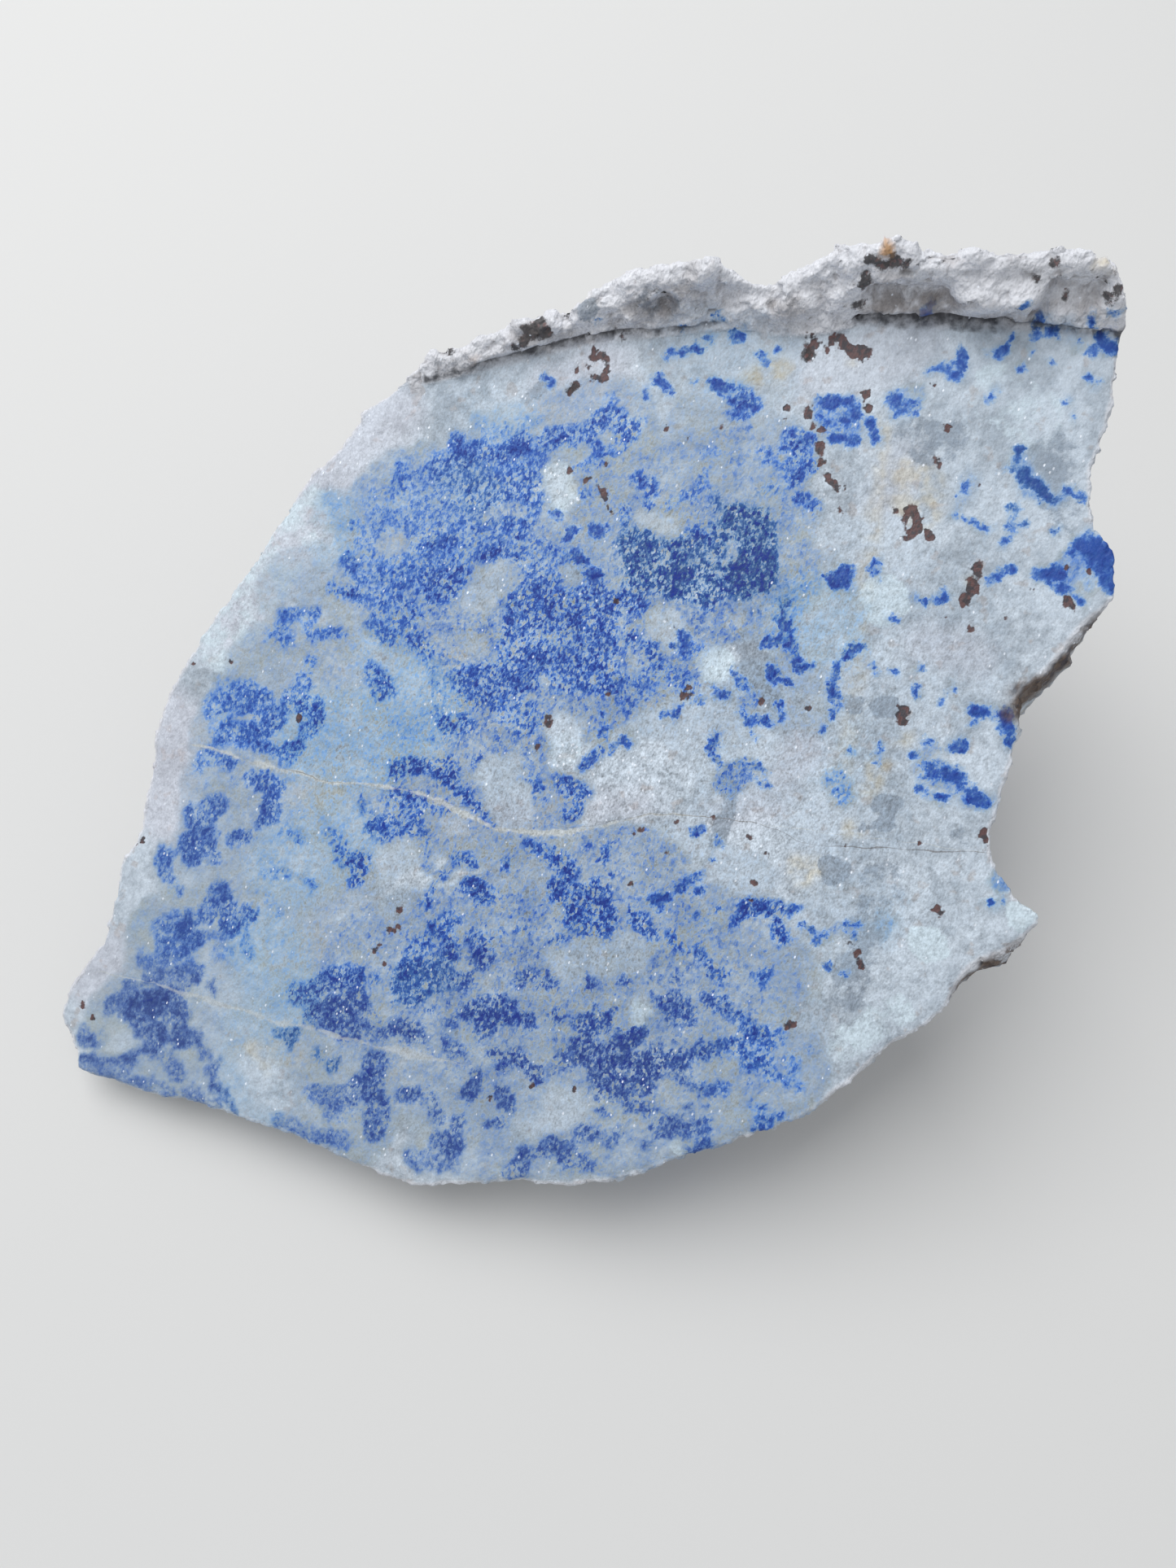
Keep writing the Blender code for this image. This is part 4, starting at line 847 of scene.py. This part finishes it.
# Where the broken rock lies low it is painted darker: dirt and painted shade in its hollows
store("hollow_shade_and_dirt", smooth(-rough / 1.0 + 0.28) * broken)
store("lip", smooth((lift + 3.5) / 4.5) * broken)
store("crisp", smooth(1.25 - np.hypot(at[:, 0] - 6, at[:, 1] + 2) / 62))
store("calcite", spread(CALCITE, SOFT_FADE))
store("painted_glint_patches", spread(PAINTED_GLINT_PATCHES, 0.8))
store("pink", spread(PINK, 4.0))
store("teal", spread(TEAL, 3.0))
store("sky_tint", spread(SKY_TINT, 4.0))
store("long_vein", behind_line(strayed * 0.35 + at * 0.65, LONG_VEIN))
store("short_vein", behind_line(strayed * 0.5 + at * 0.5, SHORT_VEIN))
store("short_vein_on", smooth((SHORT_VEIN[-1][0] - at[:, 0]) / 4))
store("crack", behind_line(strayed * 0.35 + at * 0.65, LONG_CRACK))
store("crack_on", smooth((at[:, 0] - LONG_CRACK[0][0]) / 4))
store("broken", broken)
store("deep", deep)
print(len(skin.attributes), "numbers on every corner; blue covers", round(float((blue > 0.5).mean()), 2))

# %% [markdown]
# ## The paint
#
# The colours are mixed in a fixed order, as they lie in the rock: white marble first, then what
# tints it, then blue grains, then veins, rust and cracks. The fields only say where. How ragged and
# grainy each one looks comes from fine noise in the shader, which stays crisp at any distance.

# %% Small helpers for nodes
GRAIN_LEAN = math.radians(-25)
GRAIN_STRETCH = 1.9

stone_paint = bpy.data.materials.new("lapis_in_marble")
stone_paint.use_nodes = True
nodes = stone_paint.node_tree.nodes
links = stone_paint.node_tree.links
shader = nodes["Principled BSDF"]


def plug(value, socket):
    """Set a socket to a number or a colour, or link it to another node."""
    if isinstance(value, bpy.types.NodeSocket):
        links.new(value, socket)
    else:
        socket.default_value = value


def calc(operation, a, b=0.0, c=0.0):
    """One sum between numbers or sockets."""
    node = nodes.new("ShaderNodeMath")
    node.operation = operation
    plug(a, node.inputs[0])
    plug(b, node.inputs[1])
    plug(c, node.inputs[2])
    return node.outputs[0]


def between(value, low, high):
    """A smooth step from 0 at low to 1 at high. low may be above high."""
    node = nodes.new("ShaderNodeMapRange")
    node.interpolation_type = "SMOOTHSTEP"
    rising = low < high
    plug(value, node.inputs["Value"])
    node.inputs["From Min"].default_value = min(low, high)
    node.inputs["From Max"].default_value = max(low, high)
    node.inputs["To Min"].default_value = 0.0 if rising else 1.0
    node.inputs["To Max"].default_value = 1.0 if rising else 0.0
    return node.outputs["Result"]


def mixed(share, under, over):
    """Lay one colour over another by a share from 0 to 1."""
    node = nodes.new("ShaderNodeMix")
    node.data_type = "RGBA"
    plug(share, node.inputs["Factor"])
    plug(under, node.inputs["A"])
    plug(over, node.inputs["B"])
    return node.outputs["Result"]


def field(name):
    """A number that was stored on the mesh."""
    node = nodes.new("ShaderNodeAttribute")
    node.attribute_name = name
    return node.outputs["Fac"]


place = nodes.new("ShaderNodeTexCoord").outputs["Object"]
drawn_out = nodes.new("ShaderNodeMapping")
drawn_out.vector_type = "TEXTURE"
drawn_out.inputs["Rotation"].default_value = (0, 0, GRAIN_LEAN)
drawn_out.inputs["Scale"].default_value = (1, GRAIN_STRETCH, 1)
plug(place, drawn_out.inputs["Vector"])
drawn_out = drawn_out.outputs["Vector"]


def grain(size, detail=1.0, start=0.0, roughness=0.55, where=place):
    """Noise over the stone whose spots are about size mm across, centred on a half."""
    shift = nodes.new("ShaderNodeVectorMath")
    shift.operation = "ADD"
    plug(where, shift.inputs[0])
    shift.inputs[1].default_value = (start, start, start)
    node = nodes.new("ShaderNodeTexNoise")
    plug(shift.outputs[0], node.inputs["Vector"])
    node.inputs["Scale"].default_value = 1 / (2 * size * MM)
    node.inputs["Detail"].default_value = detail
    node.inputs["Roughness"].default_value = roughness
    return node.outputs["Fac"]


def swing(noise_value, share):
    """Noise, brought to both sides of 0 and scaled."""
    return calc("MULTIPLY_ADD", noise_value, share, -share / 2)


def rgb(red, green, blue_share):
    """A colour as a photo shows it, 0 to 255, turned into the light that Blender counts in."""
    shown = [part / 255 for part in (red, green, blue_share)]
    return tuple(((s + 0.055) / 1.055) ** 2.4 if s > 0.04 else s / 12.92 for s in shown) + (1.0,)


print("helpers ready")

# %% Marble ground
WHITE = rgb(204, 215, 226)
GREY = rgb(158, 169, 180)
CREAM_GREY = rgb(173, 177, 168)
BEIGE = rgb(170, 162, 158)
PINKISH = rgb(206, 202, 212)
LIP_WHITE = rgb(234, 233, 237)
STAINED = rgb(202, 184, 138)
GLASSY = rgb(134, 146, 160)
CLEAN = rgb(208, 224, 233)
GRAIN_SIDE = 0.32

cells = nodes.new("ShaderNodeTexVoronoi")
cells.inputs["Scale"].default_value = 1 / (GRAIN_SIDE * MM)
plug(drawn_out, cells.inputs["Vector"])
dice = nodes.new("ShaderNodeSeparateColor")
links.new(cells.outputs["Color"], dice.inputs["Color"])
crystal = dice.outputs["Red"]

fine_grain = grain(0.11, 1.0, where=drawn_out)
small_grain = grain(0.34, 1.0, 0.3, where=drawn_out)
sugar_grain = grain(0.7, 3.0, 0.2)
mid_grain = grain(1.1, 2.0, 0.7)
torn_grain = grain(1.9, 5.0, 1.3, 0.72)
wide_grain = grain(3.6, 2.0, 0.9)
greying = calc("ADD", calc("MULTIPLY", grain(5.0, 4.0, 0.9, 0.6), 0.65), calc("MULTIPLY", sugar_grain, 0.35))
ground = mixed(between(greying, 0.40, 0.66), WHITE, GREY)
ground = mixed(calc("MULTIPLY", between(grain(1.0, 2.0, 0.5), 0.60, 0.70), 0.5), ground, BEIGE)
creamy = calc("MULTIPLY", between(grain(3.4, 4.0, 1.7, 0.65), 0.47, 0.60), between(field("blue"), 0.10, 0.45))
ground = mixed(calc("MULTIPLY", creamy, 0.85), ground, CREAM_GREY)
ground = mixed(calc("MULTIPLY", field("pink"), 0.70), ground, PINKISH)
ground = mixed(calc("MULTIPLY", field("lip"), 0.78), ground, LIP_WHITE)
clean = between(calc("ADD", field("calcite"), swing(torn_grain, 1.0)), 0.25, 0.50)
# Under the painted glints the clean calcite stays less white, so the painted highlights stand out
clean = calc("MULTIPLY", clean, calc("MULTIPLY_ADD", field("painted_glint_patches"), -0.7, 1.0))
ground = mixed(calc("MULTIPLY", clean, 0.85), ground, CLEAN)
stain_edge = calc("MULTIPLY", field("stain"), between(mid_grain, 0.30, 0.62))
ground = mixed(calc("MULTIPLY", stain_edge, 0.85), ground, STAINED)
quartz_edge = calc("ADD", field("quartz"), swing(torn_grain, 1.2))
ground = mixed(calc("MULTIPLY", between(quartz_edge, 0.24, 0.42), 0.80), ground, GLASSY)
print("marble ground mixed")

# %% [markdown]
# Blue grains: the density says how likely a grain is blue, and noise at three sizes decides which
# ones are. Three blues lie over the marble one after another, so that a patch goes from a pale
# haze through mid blue to nearly black-blue in its thickest grains.

# %% Blue grains
HAZE_PALE = rgb(154, 174, 194)
HAZE_MID = rgb(108, 138, 184)
PALE_BLUE = rgb(154, 190, 226)
MID_BLUE = rgb(76, 126, 202)
DEEP_BLUE = rgb(30, 77, 163)
DARK_BLUE = rgb(13, 44, 128)
PALE_SKY = rgb(148, 188, 218)
MID_SKY = rgb(98, 152, 208)
PALE_INDIGO = rgb(147, 172, 197)
MID_INDIGO = rgb(84, 117, 177)
DEEP_INDIGO = rgb(46, 72, 136)
MID_TEAL = rgb(66, 114, 171)
DEEP_TEAL = rgb(30, 76, 138)

speckle = calc("ADD", swing(crystal, 0.80), swing(fine_grain, 1.5))
speckle = calc("ADD", speckle, swing(small_grain, 1.3))
speckle = calc("MULTIPLY", speckle, calc("MULTIPLY_ADD", field("crisp"), 0.95, 0.38))
speckle = calc("ADD", speckle, swing(torn_grain, 2.3))
strength = calc("MULTIPLY_ADD", field("crisp"), 0.16, 0.67)
density = calc("MULTIPLY", calc("POWER", field("blue"), 0.75), strength)
contrast = calc("MULTIPLY", density, calc("MULTIPLY_ADD", density, 0.95, 0.30))
contrast = calc("MINIMUM", contrast, 0.74)
thickness = calc("MULTIPLY_ADD", speckle, contrast, density)
fleck_line = calc("ADD", field("fleck"), swing(grain(0.9, 4.0, 2.1, 0.65), 3.2))
fleck = between(fleck_line, 0.78, -0.16)
core = between(calc("ADD", fleck_line, swing(mid_grain, 1.6)), 0.25, -0.7)
thick_fleck = calc("MULTIPLY_ADD", speckle, 0.42, calc("MULTIPLY_ADD", core, 0.30, 0.56))
thick_fleck = calc("MULTIPLY", fleck, thick_fleck)
thickness = calc("MAXIMUM", thickness, thick_fleck)
teal = field("teal")
indigo = field("indigo")
sky_tint = field("sky_tint")
cloudy = calc("MAXIMUM", between(field("blue"), 0.40, 0.68), fleck)
pale_blue = mixed(cloudy, HAZE_PALE, mixed(indigo, PALE_BLUE, PALE_INDIGO))
pale_blue = mixed(calc("MULTIPLY", sky_tint, 0.7), pale_blue, PALE_SKY)
mid_blue = mixed(cloudy, HAZE_MID, mixed(teal, mixed(indigo, MID_BLUE, MID_INDIGO), MID_TEAL))
mid_blue = mixed(calc("MULTIPLY", sky_tint, 0.7), mid_blue, MID_SKY)
deep_blue = mixed(teal, mixed(indigo, DEEP_BLUE, DEEP_INDIGO), DEEP_TEAL)
color = mixed(calc("MULTIPLY", between(thickness, 0.02, 0.50), 0.75), ground, pale_blue)
color = mixed(between(thickness, 0.30, 0.70), color, mid_blue)
color = mixed(between(thickness, 0.56, 0.90), color, deep_blue)
color = mixed(between(thickness, 0.86, 1.20), color, DARK_BLUE)
print("blue grains mixed")

# %% Veins, rust, soot, cracks and painted shade
OCHRE = rgb(205, 150, 84)
CREAM = rgb(196, 200, 198)
RUST_RED = rgb(94, 56, 52)
RUST_DARK = rgb(48, 36, 40)
BLACK_BROWN = rgb(42, 36, 37)
STAIN_AND_SHADE_BROWN = rgb(122, 112, 107)
EARTH_AND_SHADE_BROWN = rgb(98, 78, 62)
CREASE_SHADOW_DARK = rgb(52, 52, 58)
CRACK_BROWN = rgb(96, 86, 80)

rag = swing(torn_grain, 3.0)
for name, strength in (("long_vein", 0.85), ("short_vein", calc("MULTIPLY", field("short_vein_on"), 0.55))):
    off_line = calc("ABSOLUTE", field(name))
    vein = between(calc("ADD", off_line, rag), 0.62, 0.05)
    color = mixed(calc("MULTIPLY", vein, strength), color, CREAM)
rust_line = calc("ADD", field("rust"), calc("ADD", swing(sugar_grain, 1.8), swing(small_grain, 1.0)))
rust_red = mixed(between(calc("ADD", small_grain, swing(crystal, 0.3)), 0.36, 0.60), RUST_RED, RUST_DARK)
rust = between(rust_line, 0.12, -0.10)
color = mixed(calc("MULTIPLY", rust, 0.94), color, rust_red)
soot_line = calc("ADD", field("soot"), swing(torn_grain, 3.8))
soot = between(soot_line, 0.32, -0.10)
color = mixed(calc("MULTIPLY", soot, 0.90), color, mixed(between(crystal, 0.70, 1.0), BLACK_BROWN, RUST_RED))
ochre = calc("MULTIPLY", field("ochre"), between(mid_grain, 0.36, 0.56))
color = mixed(calc("MULTIPLY", ochre, 0.85), color, OCHRE)
# Stain and painted shade on the lip's walls
wall_stain_and_shade = calc("MULTIPLY", field("wall_stain_and_shade"), between(mid_grain, 0.30, 0.58))
color = mixed(calc("MULTIPLY", wall_stain_and_shade, 0.85), color, STAIN_AND_SHADE_BROWN)
# Weathering and painted shade under the right rim
earth_and_shade = calc("MULTIPLY", field("earth_and_shade"), between(torn_grain, 0.30, 0.50))
color = mixed(calc("MULTIPLY", earth_and_shade, 0.95), color, mixed(between(small_grain, 0.4, 0.7), EARTH_AND_SHADE_BROWN, RUST_DARK))
# Dirt and painted shade: the hollows of the broken rock turn brown-grey
pit_shade_and_dirt = between(calc("ADD", field("hollow_shade_and_dirt"), swing(small_grain, 0.8)), 0.45, 1.0)
color = mixed(calc("MULTIPLY", pit_shade_and_dirt, 0.45), color, STAIN_AND_SHADE_BROWN)
# Painted shade: a dark line along the lip's foot, in place of the shadow in its groove
crease_shadow = between(calc("ADD", field("crease_shadow"), swing(sugar_grain, 1.2)), 0.40, -0.15)
color = mixed(calc("MULTIPLY", crease_shadow, 0.85), color, CREASE_SHADOW_DARK)
crack_line = calc("ADD", calc("ABSOLUTE", field("crack")), swing(torn_grain, 4.0))
cracked = between(crack_line, 1.15, 0.4)
color = mixed(calc("MULTIPLY", calc("MULTIPLY", cracked, field("crack_on")), 0.60), color, CRACK_BROWN)
print("veins and rust mixed")

# %% [markdown]
# Weathering: the underside lay in the ground, so a thin tan rind sits in its hollows and the white
# is dirtier there. The lip and the sawn face are fresh and stay clean.

# %% Weathered rind
RIND_TAN = rgb(172, 146, 116)
RIND_GREY = rgb(140, 132, 124)

rind = calc("MULTIPLY", field("deep"), between(calc("ADD", mid_grain, calc("MULTIPLY", wide_grain, 0.8)), 0.80, 1.02))
rind_color = mixed(between(small_grain, 0.35, 0.65), RIND_TAN, RIND_GREY)
color = mixed(calc("MULTIPLY", rind, 0.8), color, rind_color)
print("rind mixed")

# %% [markdown]
# Sparkle: calcite splits along mirror-flat planes, and here and there one faces the light. The
# glints are painted highlights: a Voronoi pattern gives every grain its own random colour, and only
# the few brightest are painted nearly white into the base colour and made much smoother than the
# stone round them.

# %% Painted glints, gloss and bump
PAINTED_GLINT_WHITE = rgb(240, 246, 255)
SUGAR_CONTRAST = 0.20

chance = calc("SUBTRACT", dice.outputs["Green"], calc("MULTIPLY_ADD", field("painted_glint_patches"), -0.25, 0.985))
painted_glint = calc("MULTIPLY", between(chance, 0.0, 0.004), between(cells.outputs["Distance"], 0.48, 0.25))
painted_glint = calc("MULTIPLY", painted_glint, calc("SUBTRACT", 1.0, calc("MAXIMUM", rust, fleck)))
# Painted highlights: the glinting grains are painted nearly white into the base colour
color = mixed(calc("MULTIPLY", painted_glint, 0.85), color, PAINTED_GLINT_WHITE)

sugar = calc("ADD", swing(crystal, SUGAR_CONTRAST), swing(fine_grain, 0.8))
sugar = calc("ADD", sugar, swing(small_grain, 0.45))
sugar = calc("MULTIPLY", sugar, calc("MULTIPLY_ADD", field("crisp"), 1.10, 0.42))
shade = nodes.new("ShaderNodeVectorMath")
shade.operation = "SCALE"
links.new(color, shade.inputs[0])
links.new(calc("ADD", sugar, 1.0), shade.inputs["Scale"])
links.new(shade.outputs[0], shader.inputs["Base Color"])

dull = calc("MULTIPLY_ADD", sugar, 0.5, 0.60)
dull = calc("SUBTRACT", dull, calc("MULTIPLY", field("calcite"), 0.12))
dull = calc("SUBTRACT", dull, calc("MULTIPLY", painted_glint, 0.40))
plug(calc("MAXIMUM", dull, 0.12), shader.inputs["Roughness"])

relief = calc("MULTIPLY_ADD", sugar_grain, 0.22, calc("MULTIPLY", fine_grain, 0.05))
relief = calc("MULTIPLY_ADD", small_grain, calc("MULTIPLY_ADD", field("broken"), 0.36, 0.10), relief)
relief = calc("SUBTRACT", relief, calc("MULTIPLY", rust, 0.05))
bump = nodes.new("ShaderNodeBump")
bump.inputs["Distance"].default_value = MM
bump.inputs["Strength"].default_value = 1.0
plug(relief, bump.inputs["Height"])
links.new(bump.outputs["Normal"], shader.inputs["Normal"])
print(len(nodes), "nodes in the paint")

# %% [markdown]
# ## Put the stone in its place
#
# The finished skin stands for the imported stone, so it rides on the same body and takes the same
# material slot.

# %% Finish
lapis = bpy.data.objects.new("lapis_with_broken_lip", skin)
bpy.context.scene.collection.objects.link(lapis)
skin.materials.clear()
skin.materials.append(stone_paint)
skin.shade_smooth()
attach(lapis, "root")
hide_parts("lapis_stone")
